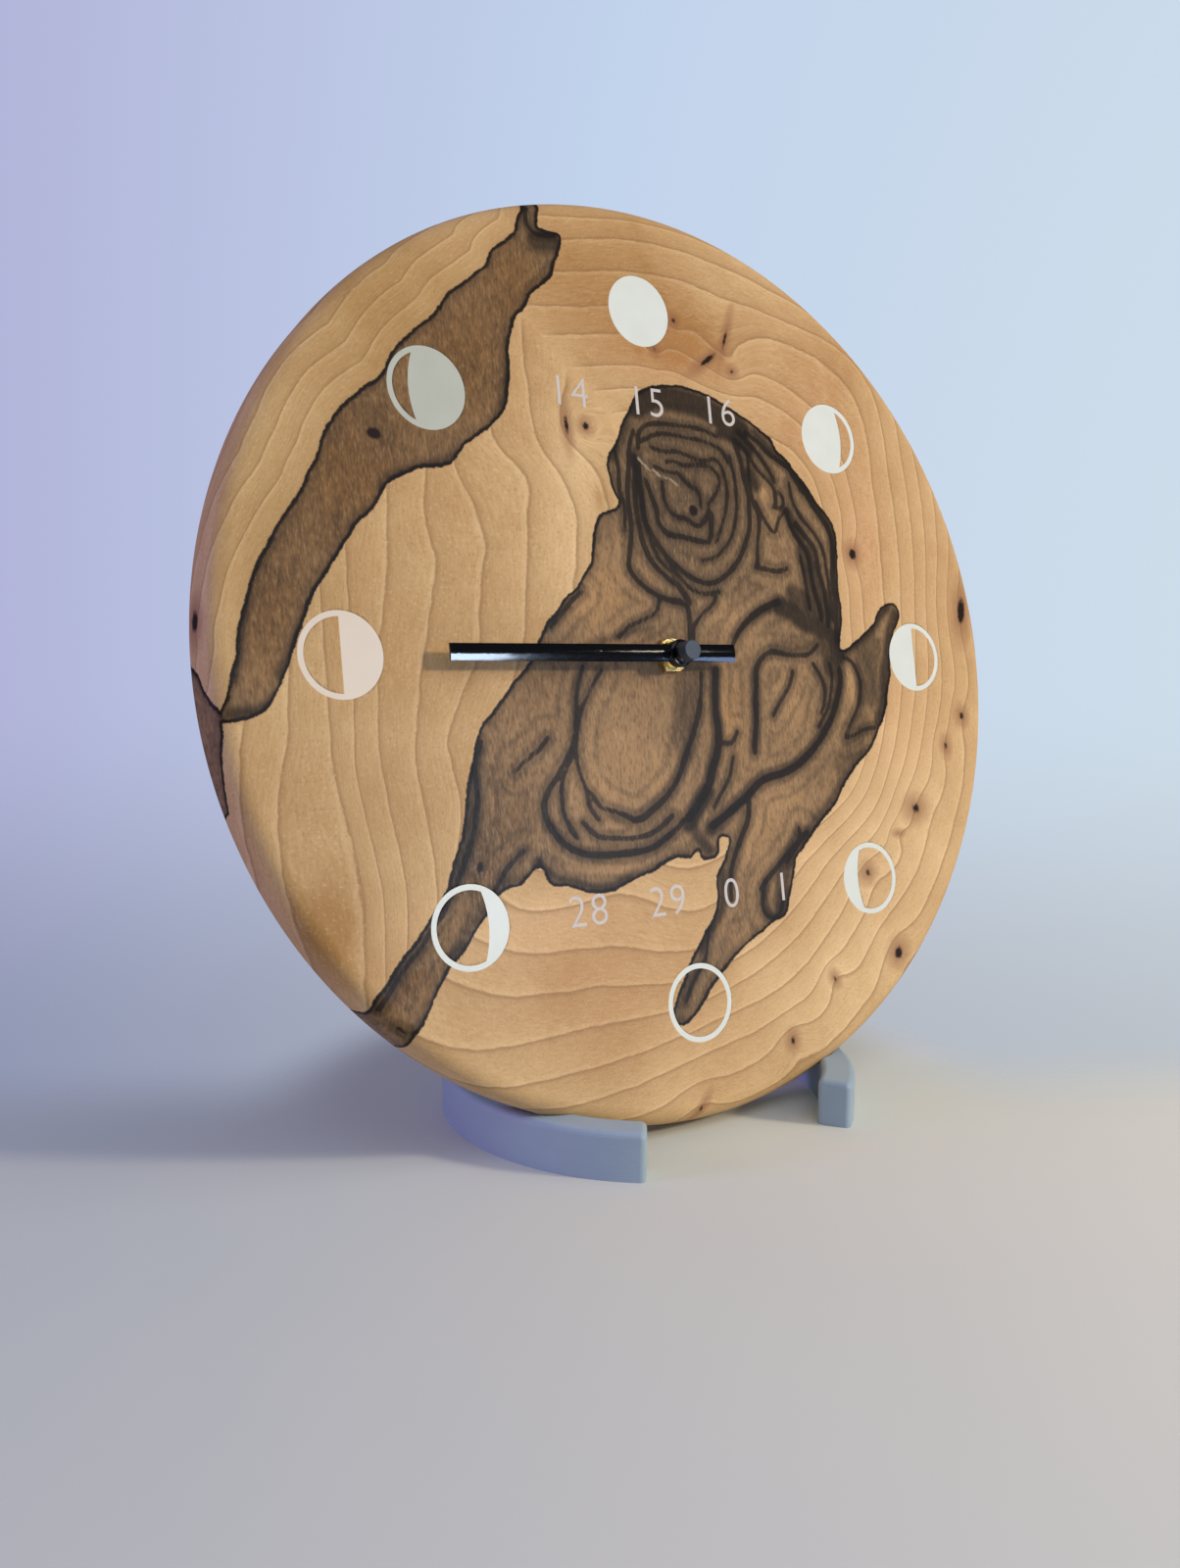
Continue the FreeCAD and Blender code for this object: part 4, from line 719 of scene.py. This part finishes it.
def makeDisc():
    cells = disc["gridCells"]
    edgeRound = disc["edgeRound"] * mm
    flatRadius = discRadius - edgeRound
    deselectAll()
    bpy.ops.mesh.primitive_circle_add(vertices=cells * 4, radius=flatRadius)
    piece = bpy.context.object
    piece.name = "walnut_disc"
    bpy.ops.object.mode_set(mode="EDIT")
    bpy.ops.mesh.select_mode(type="EDGE")
    bpy.ops.mesh.select_all(action="SELECT")
    bpy.ops.mesh.fill_grid(span=cells, offset=0)
    # the edge: down round the front corner, along the side, round the back corner
    profile = []
    for step in range(1, disc["roundSteps"] + 1):
        turn = math.pi / 2 * step / disc["roundSteps"]
        profile.append((flatRadius + edgeRound * math.sin(turn), edgeRound * (math.cos(turn) - 1)))
    backCorner = [(radius, -discThickness - height) for radius, height in reversed(profile)]
    wallHeight = discThickness - 2 * edgeRound
    for step in range(1, disc["wallSteps"]):
        profile.append((discRadius, -edgeRound - wallHeight * step / disc["wallSteps"]))
    profile += [*backCorner, (flatRadius, -discThickness)]
    radiusNow, heightNow = flatRadius, 0.0
    pickVertices(piece, lambda co: co.length > flatRadius - disc["hair"] * mm)
    for radius, height in profile:
        bpy.ops.mesh.extrude_edges_move(TRANSFORM_OT_translate={"value": (0, 0, height - heightNow)})
        grow = radius / radiusNow
        bpy.ops.transform.resize(value=(grow, grow, 1), center_override=(0, 0, height))
        radiusNow, heightNow = radius, height
    bpy.ops.mesh.edge_face_add()
    bpy.ops.mesh.select_all(action="SELECT")
    bpy.ops.mesh.normals_make_consistent(inside=False)
    bpy.ops.object.mode_set(mode="OBJECT")
    return piece


def cutterFromNode(name):
    # a closed copy of an inlay in the dial's own frame, its top pushed out of the wood
    copy = nodes[name].copy()
    copy.data = nodes[name].data.copy()
    copy.parent = None
    bpy.context.scene.collection.objects.link(copy)
    copy.data.materials.clear()
    setPlace(copy, rowToDial)
    bpy.ops.object.mode_set(mode="EDIT")
    bpy.ops.mesh.select_all(action="SELECT")
    bpy.ops.mesh.remove_doubles(threshold=1e-6)
    pickVertices(copy, lambda co: co.z > -disc["hair"] * mm)
    bpy.ops.transform.translate(value=(0, 0, disc["proud"] * mm))
    bpy.ops.object.mode_set(mode="OBJECT")
    return copy


def makeCutters():
    cutters = [cutterFromNode(name) for name in nodes if name.startswith("moon_")]
    deselectAll()
    bore = {"vertices": disc["boreSides"], "radius": disc["boreRadius"] * mm, "depth": discThickness * 3}
    bpy.ops.mesh.primitive_cylinder_add(**bore)
    cutters.append(bpy.context.object)
    width = disc["pocketWidth"] * mm
    low = -discThickness - disc["proud"] * mm
    high = disc["pocketDepth"] * mm - discThickness
    deselectAll()
    bpy.ops.mesh.primitive_cube_add(size=1, location=(0, 0, (low + high) / 2))
    pocket = bpy.context.object
    pocket.scale = (width, width, high - low)
    bpy.ops.object.transform_apply(location=True, rotation=True, scale=True)
    bpy.ops.object.mode_set(mode="EDIT")
    mesh = bmesh.from_edit_mesh(pocket.data)
    for edge in mesh.edges:
        first, second = edge.verts
        edge.select_set(abs(first.co.z - second.co.z) > disc["hair"] * mm)
    bmesh.update_edit_mesh(pocket.data)
    corner = disc["pocketCorner"] * mm
    bpy.ops.mesh.bevel(offset=corner, segments=disc["cornerSteps"], affect="EDGES")
    bpy.ops.object.mode_set(mode="OBJECT")
    return [*cutters, pocket]


def writeFigure(piece):
    mesh = piece.data
    points = np.empty(len(mesh.vertices) * 3)
    mesh.vertices.foreach_get("co", points)
    points = points.reshape(-1, 3) / mm
    # down the disc's edge the figure is read ever further out, as if the edge lay flat round the face
    depth = np.clip(-points[:, 2:], 0, discThickness / mm)
    figure = readFigure(points[:, :2] / unit * (1 + depth * disc["edgeReach"]))
    for name in figureNames:
        attribute = mesh.attributes.new(name, "FLOAT", "POINT")
        attribute.data.foreach_set("value", figure[name].astype(np.float32))


walnutLooks = {
    # noises: which places, size in mm or in tenths of a growth line, detail, reach to either side
    "noises": {
        "wander": ("flat", 9.0, 4.0, 0.45), "grit": ("flat", 1.4, 3.0, 0.22),
        "pores": ("dashes", 0.7, 3.0, 1.0), "fibres": ("dashes", 2.2, 5.0, 0.25),
        "clouds": ("flat", 26.0, 4.0, 0.25), "streaks": ("longWays", 0.7, 5.0, 0.25),
        "flecks": ("shortWays", 0.55, 3.0, 1.0),
    },
    "noiseRoughness": 0.62,
    "noiseMiddle": (0.3, 0.7),
    "acrossLines": 10.0,
    "alongLines": {"longWays": 0.12, "shortWays": 0.5},
    # what the layers are driven by, each from two values and a number
    "drivers": [
        ("rough", "ADD", "wander", "grit"), ("edge", "ADD", "heartEdge", "rough"),
        ("ink", "MULTIPLY_ADD", "rough", 0.45, "inkEdge"), ("ink", "MULTIPLY_ADD", "fibres", 0.6, "ink"),
        ("knot", "MULTIPLY_ADD", "grit", 0.7, "knotReach"), ("scratch", "ADD", "scratch", "grit"),
        ("contour", "MULTIPLY", "ink", 1.3), ("contour", "MULTIPLY_ADD", "clouds", 7.2, "contour"),
        ("contour", "SINE", "contour"), ("early", "MULTIPLY_ADD", "wander", 0.07, "ringPhase"),
        ("early", "FRACT", "early"), ("sapTone", "SUBTRACT", "sapPale", "streaks"),
        ("sapTone", "SUBTRACT", "sapTone", "clouds"), ("heartTone", "SUBTRACT", "heartPale", "fibres"),
        ("heartTone", "SUBTRACT", "heartTone", "clouds"), ("inner", "ADD", "edge", "clouds"),
    ],
    # a thin line closes each year, and a soft darkening follows it: place in the year, how dark
    "year": [
        (0.0, 0.95), (0.04, 0.58), (0.12, 0.38), (0.50, 0.24), (0.82, 0.13), (0.93, 0.0), (0.95, 0.08),
        (0.975, 0.9),
    ],
    # layers: what drives them, where they start and are full, how strong, colour
    "sapLayers": [
        ("early", 0.80, 0.94, 0.10, "#F2DDB4"), ("growth", 0.0, 1.0, 0.68, "#8A6234"),
        ("flecks", 0.35, 1.1, 0.52, "#8F6638"), ("flecks", -0.4, -1.1, 0.26, "#F6E0B8"),
        ("knot", 3.4, 1.2, 0.62, "#8A5A3A"),
    ],
    "heartLayers": [
        ("contour", -0.2, 1.0, 0.30, "#2E261C"), ("pores", 0.0, 0.9, 0.42, "#2A2016"),
        ("pores", -0.2, -1.0, 0.24, "#C2A274"), ("edge", -3.6, -0.4, 0.40, "#2E2419"),
        ("ink", 2.6, 0.2, 0.45, "#2A2219"), ("stain", 0.0, 1.0, 0.88, "#211A10"),
        ("ink", 0.60, 0.10, 0.84, "#1A130B"), ("scratch", 0.4, 0.0, 0.75, "#A8977C"),
    ],
    # each wood's cool colours, dark and light, then its warm ones, and the least warmth
    "woods": {
        "sap": (("#A6834A", "#E6CC96"), ("#B47C46", "#F2CC9A"), -1.0),
        "heart": (("#3B3126", "#B28C5E"), ("#3C2A18", "#AE8048"), 0.0),
    },
    # shares: what drives them, from and from, then to and to
    "shares": {
        "inside": ("edge", 0.2, -0.1), "outer": ("edge", 0.45, 0.12), "eye": ("knot", 1.15, 0.75),
        "inner": ("inner", -1.2, -0.5, 0.0, 0.95), "sheen": ("pores", -1.0, 1.0, 0.46, 0.6),
    },
    "border": "#150F09",
    "eye": "#24160F",
    "bump": {"Strength": 0.15, "Distance": 0.06 * mm},
    "specular": 0.22,
}


def walnutFace():
    # oiled walnut: cream sapwood with fine brown lines, dark heartwood with black borders, a satin sheen
    material, tree, shader = newMaterial("Oiled walnut face")
    looks = walnutLooks
    values = {name: addNode(tree, "Attribute", attribute_name=name).outputs["Fac"] for name in figureNames}
    # turned upright and in mm, so that x and z lie in the face; the ways run along the growth lines
    place = addNode(tree, "TexCoord").outputs["Object"]
    flat = addNode(tree, "Mapping", {"Vector": place, "Rotation": (lean, 0, 0), "Scale": (1 / mm,) * 3})
    values["flat"] = flat
    values["dashes"] = addNode(tree, "Mapping", {"Vector": flat, "Scale": (1.0, 0.3, 0.3)})
    acrossLines = addNode(tree, "Math", [values["ringPhase"], looks["acrossLines"]], operation="MULTIPLY")
    for name, share in looks["alongLines"].items():
        along = addNode(tree, "Math", [values["ringAlong"], share], operation="MULTIPLY")
        values[name] = addNode(tree, "CombineXYZ", [acrossLines, along])
    for name, (way, size, detail, reach) in looks["noises"].items():
        sockets = {"Vector": values[way], "Scale": 1 / size, "Detail": detail}
        noise = addNode(tree, "TexNoise", {**sockets, "Roughness": looks["noiseRoughness"]})
        values[name] = addNode(tree, "MapRange", [noise, *looks["noiseMiddle"], -reach, reach])
    for name, operation, *parts in looks["drivers"]:
        sockets = [values[part] if isinstance(part, str) else part for part in parts]
        values[name] = addNode(tree, "Math", sockets, operation=operation)
    stops = [(share, (dark, dark, dark, 1)) for share, dark in looks["year"]]
    year = addNode(tree, "ValToRGB", [values["early"]], stops)
    values["growth"] = addNode(tree, "Math", [year, values["ringFade"]], operation="MULTIPLY")

    woods = []
    for wood, (*tints, leastWarm) in looks["woods"].items():
        tone = addNode(tree, "MapRange", [values[wood + "Tone"], -1.0])
        warmth = addNode(tree, "MapRange", [values[wood + "Warm"], leastWarm])
        cool, warm = (addNode(tree, "Mix", {0: tone, 6: dark, 7: light}) for dark, light in tints)
        colour = addNode(tree, "Mix", {0: warmth, 6: cool, 7: warm})
        for name, start, full, strength, tint in looks[wood + "Layers"]:
            share = addNode(tree, "MapRange", [values[name], start, full, 0.0, strength])
            colour = addNode(tree, "Mix", {0: share, 6: colour, 7: tint})
        woods.append(colour)

    # the border is crisp outside and softer inside; knots have a dark eye
    shares = {}
    for name, (driver, *ends) in looks["shares"].items():
        shares[name] = addNode(tree, "MapRange", [values[driver], *ends])
    shares["border"] = addNode(tree, "Math", [shares["outer"], shares["inner"]], operation="MULTIPLY")
    wood = addNode(tree, "Mix", {0: shares["inside"], 6: woods[0], 7: woods[1]})
    for name in ("border", "eye"):
        wood = addNode(tree, "Mix", {0: shares[name], 6: wood, 7: looks[name]})
    bump = addNode(tree, "Bump", {"Height": values["pores"], **looks["bump"]})
    setInputs(tree, shader, {"Base Color": wood, "Roughness": shares["sheen"], "Normal": bump})
    setInputs(tree, shader, {"Specular IOR Level": looks["specular"]})
    return material


# The back's patterns, sizes in mm.
backLooks = {
    "grain": (1.0, 1.0, 0.25),
    "lines": {"Scale": 1 / 26.0, "Distortion": 7.0, "Detail": 3.0, "Detail Scale": 0.5},
    "pores": {"Scale": 1 / 0.9, "Detail": 3.0, "Roughness": 0.7},
    "patches": {"Scale": 1 / 105.0, "Detail": 1.0},
    "tints": (("#D0AC7A", "#BC9462"), ("#79593C", "#5E4531")),
    "borderRise": (0.555, 0.562),
    "borderFall": (0.574, 0.566),
    # layers: what drives them, where they start and are full, how strong, colour
    "layers": [
        ("patches", 0.560, 0.568, 0.9, "heart"), ("patches", 0.60, 0.70, 0.4, "#3A2B20"),
        ("border", 0.0, 1.0, 1.0, "#2E241D"), ("pores", 0.58, 0.74, 0.4, "#6E4E30"),
    ],
    "bump": {"Strength": 0.15, "Distance": 0.15 * mm},
    "roughness": 0.62,
}


def walnutBack():
    # the same board from behind: calm upright growth lines, a heartwood patch, sanded and left dull
    material, tree, shader = newMaterial("Sanded walnut back")
    place = addNode(tree, "TexCoord").outputs["Object"]
    scale = [share / mm for share in backLooks["grain"]]
    flat = addNode(tree, "Mapping", {"Vector": place, "Rotation": (lean, 0, 0), "Scale": scale})
    waves = {"wave_type": "BANDS", "bands_direction": "X", "wave_profile": "SAW"}
    lines = addNode(tree, "TexWave", {"Vector": flat, **backLooks["lines"]}, **waves)
    pores = addNode(tree, "TexNoise", {"Vector": flat, **backLooks["pores"]})
    patches = addNode(tree, "TexNoise", {"Vector": flat, **backLooks["patches"]})
    woods = [addNode(tree, "Mix", {0: lines, 6: light, 7: dark}) for light, dark in backLooks["tints"]]
    colour = woods[0]
    # the black border where sapwood meets heartwood
    rising = addNode(tree, "MapRange", [patches, *backLooks["borderRise"]])
    falling = addNode(tree, "MapRange", [patches, *backLooks["borderFall"]])
    border = addNode(tree, "Math", [rising, falling], operation="MULTIPLY")
    values = {"patches": patches, "pores": pores, "border": border, "heart": woods[1]}
    for name, start, full, strength, tint in backLooks["layers"]:
        share = addNode(tree, "MapRange", [values[name], start, full, 0.0, strength])
        colour = addNode(tree, "Mix", {0: share, 6: colour, 7: values.get(tint, tint)})
    bump = addNode(tree, "Bump", {"Height": pores, **backLooks["bump"]})
    setInputs(tree, shader, {"Base Color": colour, "Roughness": backLooks["roughness"], "Normal": bump})
    return material


def makeDial():
    piece = makeDisc()
    for cutter in makeCutters():
        applyModifier(piece, "BOOLEAN", operation="DIFFERENCE", solver="MANIFOLD", object=cutter)
        bpy.data.objects.remove(cutter)
    mesh = piece.data
    mesh.materials.clear()
    mesh.materials.append(walnutFace())
    mesh.materials.append(walnutBack())
    # the back and the walls of its pocket are sanded wood
    backStart = disc["skin"] * mm - discThickness
    pocketHalf = (disc["pocketWidth"] + disc["skin"]) / 2 * mm
    pocketTop = -disc["edgeRound"] * mm
    for polygon in mesh.polygons:
        centre = polygon.center
        inPocket = max(abs(centre.x), abs(centre.y)) < pocketHalf and centre.z < pocketTop
        polygon.material_index = 1 if centre.z < backStart or inPocket else 0
    writeFigure(piece)
    setPlace(piece, dialToRow)
    bpy.ops.object.shade_smooth_by_angle(angle=math.radians(30))
    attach(piece, "clock_body")
    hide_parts("wood_dial")
    mesh.calc_loop_triangles()
    print("dial made:", len(mesh.vertices), "vertices,", len(mesh.loop_triangles), "triangles")


makeDial()

# Plain numbers, the moon's age in days, where the face has its two lines of lettering. Sizes in mm.
faceNumbers = {
    "texts": {
        "full_moon_days": ("14   15   16", 0.0, 74.5),
        "new_moon_days": ("28   29   0   1", -2.0, -70.5),
    },
    "height": 14.0,
    "proud": 0.06,
    "thinner": 0.12,
    "spacing": 1.12,
    "wear": 1.2,
    "colours": ("#BDB2A8", "#D5CDC5"),
}


def numberPaint():
    # screen-printed pale grey paint, thin, so a little of the wood's tone comes through
    material, tree, shader = newMaterial("Pale screen print")
    place = addNode(tree, "TexCoord").outputs["Object"]
    scale = 1 / (faceNumbers["wear"] * mm)
    wear = addNode(tree, "TexNoise", {"Vector": place, "Scale": scale, "Detail": 3.0})
    thin, full = faceNumbers["colours"]
    colour = addNode(tree, "Mix", {0: wear, 6: thin, 7: full})
    setInputs(tree, shader, {"Base Color": colour, "Roughness": 0.55})
    return material


def makeNumbers():
    material = numberPaint()
    proud = faceNumbers["proud"] * mm
    for name, (text, x, y) in faceNumbers["texts"].items():
        deselectAll()
        bpy.ops.object.text_add()
        piece = bpy.context.object
        piece.name = name
        piece.data.body = text
        piece.data.align_x = piece.data.align_y = "CENTER"
        piece.data.size = faceNumbers["height"] * mm
        piece.data.extrude = proud / 2
        piece.data.offset = -faceNumbers["thinner"] * mm
        piece.data.space_character = faceNumbers["spacing"]
        bpy.ops.object.convert(target="MESH")
        setPlace(piece, dialToRow @ Matrix.Translation((x * unit * mm, y * unit * mm, proud / 2)))
        piece.data.materials.clear()
        piece.data.materials.append(material)
        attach(piece, "clock_body")


makeNumbers()
print("numbers made")

# Finishes of the carried-over pieces: two colours that noise mixes, the size of its patches, roughness from
# and to, the grit's depth and size, and the nodes. Sizes in mm.
finishes = {
    # milky grey-green disc, a little of the dark wood showing through
    "Poured resin over dark wood": ("#AEB2A3", "#BDC1B3", 9, 0.4, 0.5, 0.01, 0.6, ["moon_waxing_gibbous"]),
    # pinkish cream disc, the pale wood warming it
    "Poured resin over pale wood": ("#DACCB6", "#E0D4C2", 9, 0.4, 0.5, 0.01, 0.6, ["moon_first_quarter"]),
    # flat white that stands out from the grain, softly satin
    "Poured white resin": ("#D2D8CD", "#DEE3DB", 9, 0.4, 0.5, 0.01, 0.6, [
        "moon_full", "moon_waning_gibbous", "moon_last_quarter", "moon_waning_crescent", "moon_new",
        "moon_waxing_crescent",
    ]),
    # blue-grey with fine level lines, dull in the light
    "Printed plastic": ("#90A4AF", "#9AADB8", 12, 0.48, 0.58, 0.05, 0.25, ["stand"]),
    # deep black that mirrors the lamps in long thin streaks
    "Gloss black lacquer": ("#060607", "#0A0A0C", 6, 0.08, 0.13, 0.01, 0.5, ["hand", "hand_collar"]),
    # dark grey end, soft against the shiny hand
    "Satin moulded nylon": ("#3B434C", "#454E58", 2, 0.42, 0.52, 0.02, 0.2, ["shaft_cap"]),
    # warm yellow glints round the shaft
    "Turned brass": ("#EBC878", "#F7E0A0", 2, 0.22, 0.34, 0.02, 0.25, ["hex_nut", "threaded_bush"]),
    # black ring that swallows the light
    "Matt nitrile rubber": ("#1C1C1D", "#262627", 3, 0.75, 0.85, 0.04, 0.3, ["rubber_washer"]),
    # black with a fine spark texture
    "Textured black polystyrene": ("#1B1B1E", "#242428", 5, 0.5, 0.6, 0.06, 0.35, [
        "movement_case_front", "movement_case_back",
    ]),
    # creamy white, slightly waxy
    "Moulded acetal": ("#E2DFD2", "#ECE9DE", 3, 0.32, 0.4, 0.01, 0.3, [
        "gear_bridge", "centre_wheel", "first_wheel", "second_wheel", "output_shaft",
    ]),
    # thin bright grey pins
    "Turned steel": ("#A9AAAD", "#BCBDC0", 1, 0.22, 0.32, 0.01, 0.15, [
        "first_arbor", "second_arbor", "rotor_arbor", "knob_arbor",
    ]),
    # grey sheet with a brushed dullness
    "Stamped steel sheet": ("#8F9093", "#A2A3A6", 4, 0.34, 0.44, 0.02, 0.3, ["stator", "coil_core"]),
    # charcoal, dry and grainy
    "Sintered ferrite": ("#3A3A3D", "#48484B", 1.5, 0.5, 0.6, 0.03, 0.2, ["rotor_magnet"]),
    # pale straw, satin
    "Moulded polyester": ("#CFC6AC", "#DAD2BB", 3, 0.4, 0.5, 0.01, 0.3, ["coil_bobbin"]),
    # reddish copper with an enamel gloss
    "Enamelled copper wire": ("#B4622F", "#C97B45", 0.6, 0.25, 0.35, 0.05, 0.15, ["coil_winding"]),
    # olive board, slightly mottled
    "Phenolic board": ("#6E7A35", "#7B8740", 4, 0.4, 0.5, 0.02, 0.3, ["circuit_board"]),
    # glossy black drop
    "Black epoxy": ("#0E0E0F", "#161617", 2, 0.15, 0.25, 0.03, 0.8, ["chip_cover"]),
    # yellowish silver, clean glints
    "Nickel plate": ("#B9B6AC", "#CAC8C0", 3, 0.22, 0.32, 0.01, 0.2, [
        "quartz_crystal", "battery_contact_flat", "battery_contact_spring",
    ]),
    # dark slate film, tight and shiny
    "Shrink sleeve": ("#23282E", "#2C323A", 8, 0.25, 0.35, 0.01, 0.6, ["battery"]),
    # near black, lightly grained
    "Moulded ABS": ("#222225", "#2B2B2F", 2, 0.42, 0.52, 0.03, 0.25, ["set_knob"]),
}
metals = ("Turned brass", "Turned steel", "Stamped steel sheet", "Enamelled copper wire", "Nickel plate")
layerHeights = {"Printed plastic": 0.4}
layerRelief = 1.5  # how deep the printed layers are, beside the grit


def makeFinish(name, first, second, patch, smooth, rough, depth, grain):
    material, tree, shader = newMaterial(name)
    place = addNode(tree, "TexCoord").outputs["Object"]
    patches = addNode(tree, "TexNoise", {"Vector": place, "Scale": 1 / (patch * mm), "Detail": 3.0})
    grit = addNode(tree, "TexNoise", {"Vector": place, "Scale": 1 / (grain * mm), "Detail": 2.0})
    colour = addNode(tree, "Mix", {0: patches, 6: first, 7: second})
    roughness = addNode(tree, "MapRange", [grit, 0.3, 0.7, smooth, rough])
    height = grit
    if name in layerHeights:
        # level ridges, one layer apart
        sockets = {"Vector": place, "Scale": 0.5 / (layerHeights[name] * mm) / math.pi}
        layers = addNode(tree, "TexWave", sockets, wave_type="BANDS", bands_direction="Z")
        height = addNode(tree, "Math", [layers, layerRelief, grit], operation="MULTIPLY_ADD")
    bump = addNode(tree, "Bump", {"Height": height, "Strength": 0.25, "Distance": depth * mm})
    setInputs(tree, shader, {"Base Color": colour, "Roughness": roughness, "Normal": bump})
    setInputs(tree, shader, {"Metallic": 1.0 if name in metals else 0.0})
    return material


for name, (*look, pieces) in finishes.items():
    material = makeFinish(name, *look)
    for piece in pieces:
        nodes[piece].data.materials.clear()
        nodes[piece].data.materials.append(material)
print("finishes set")
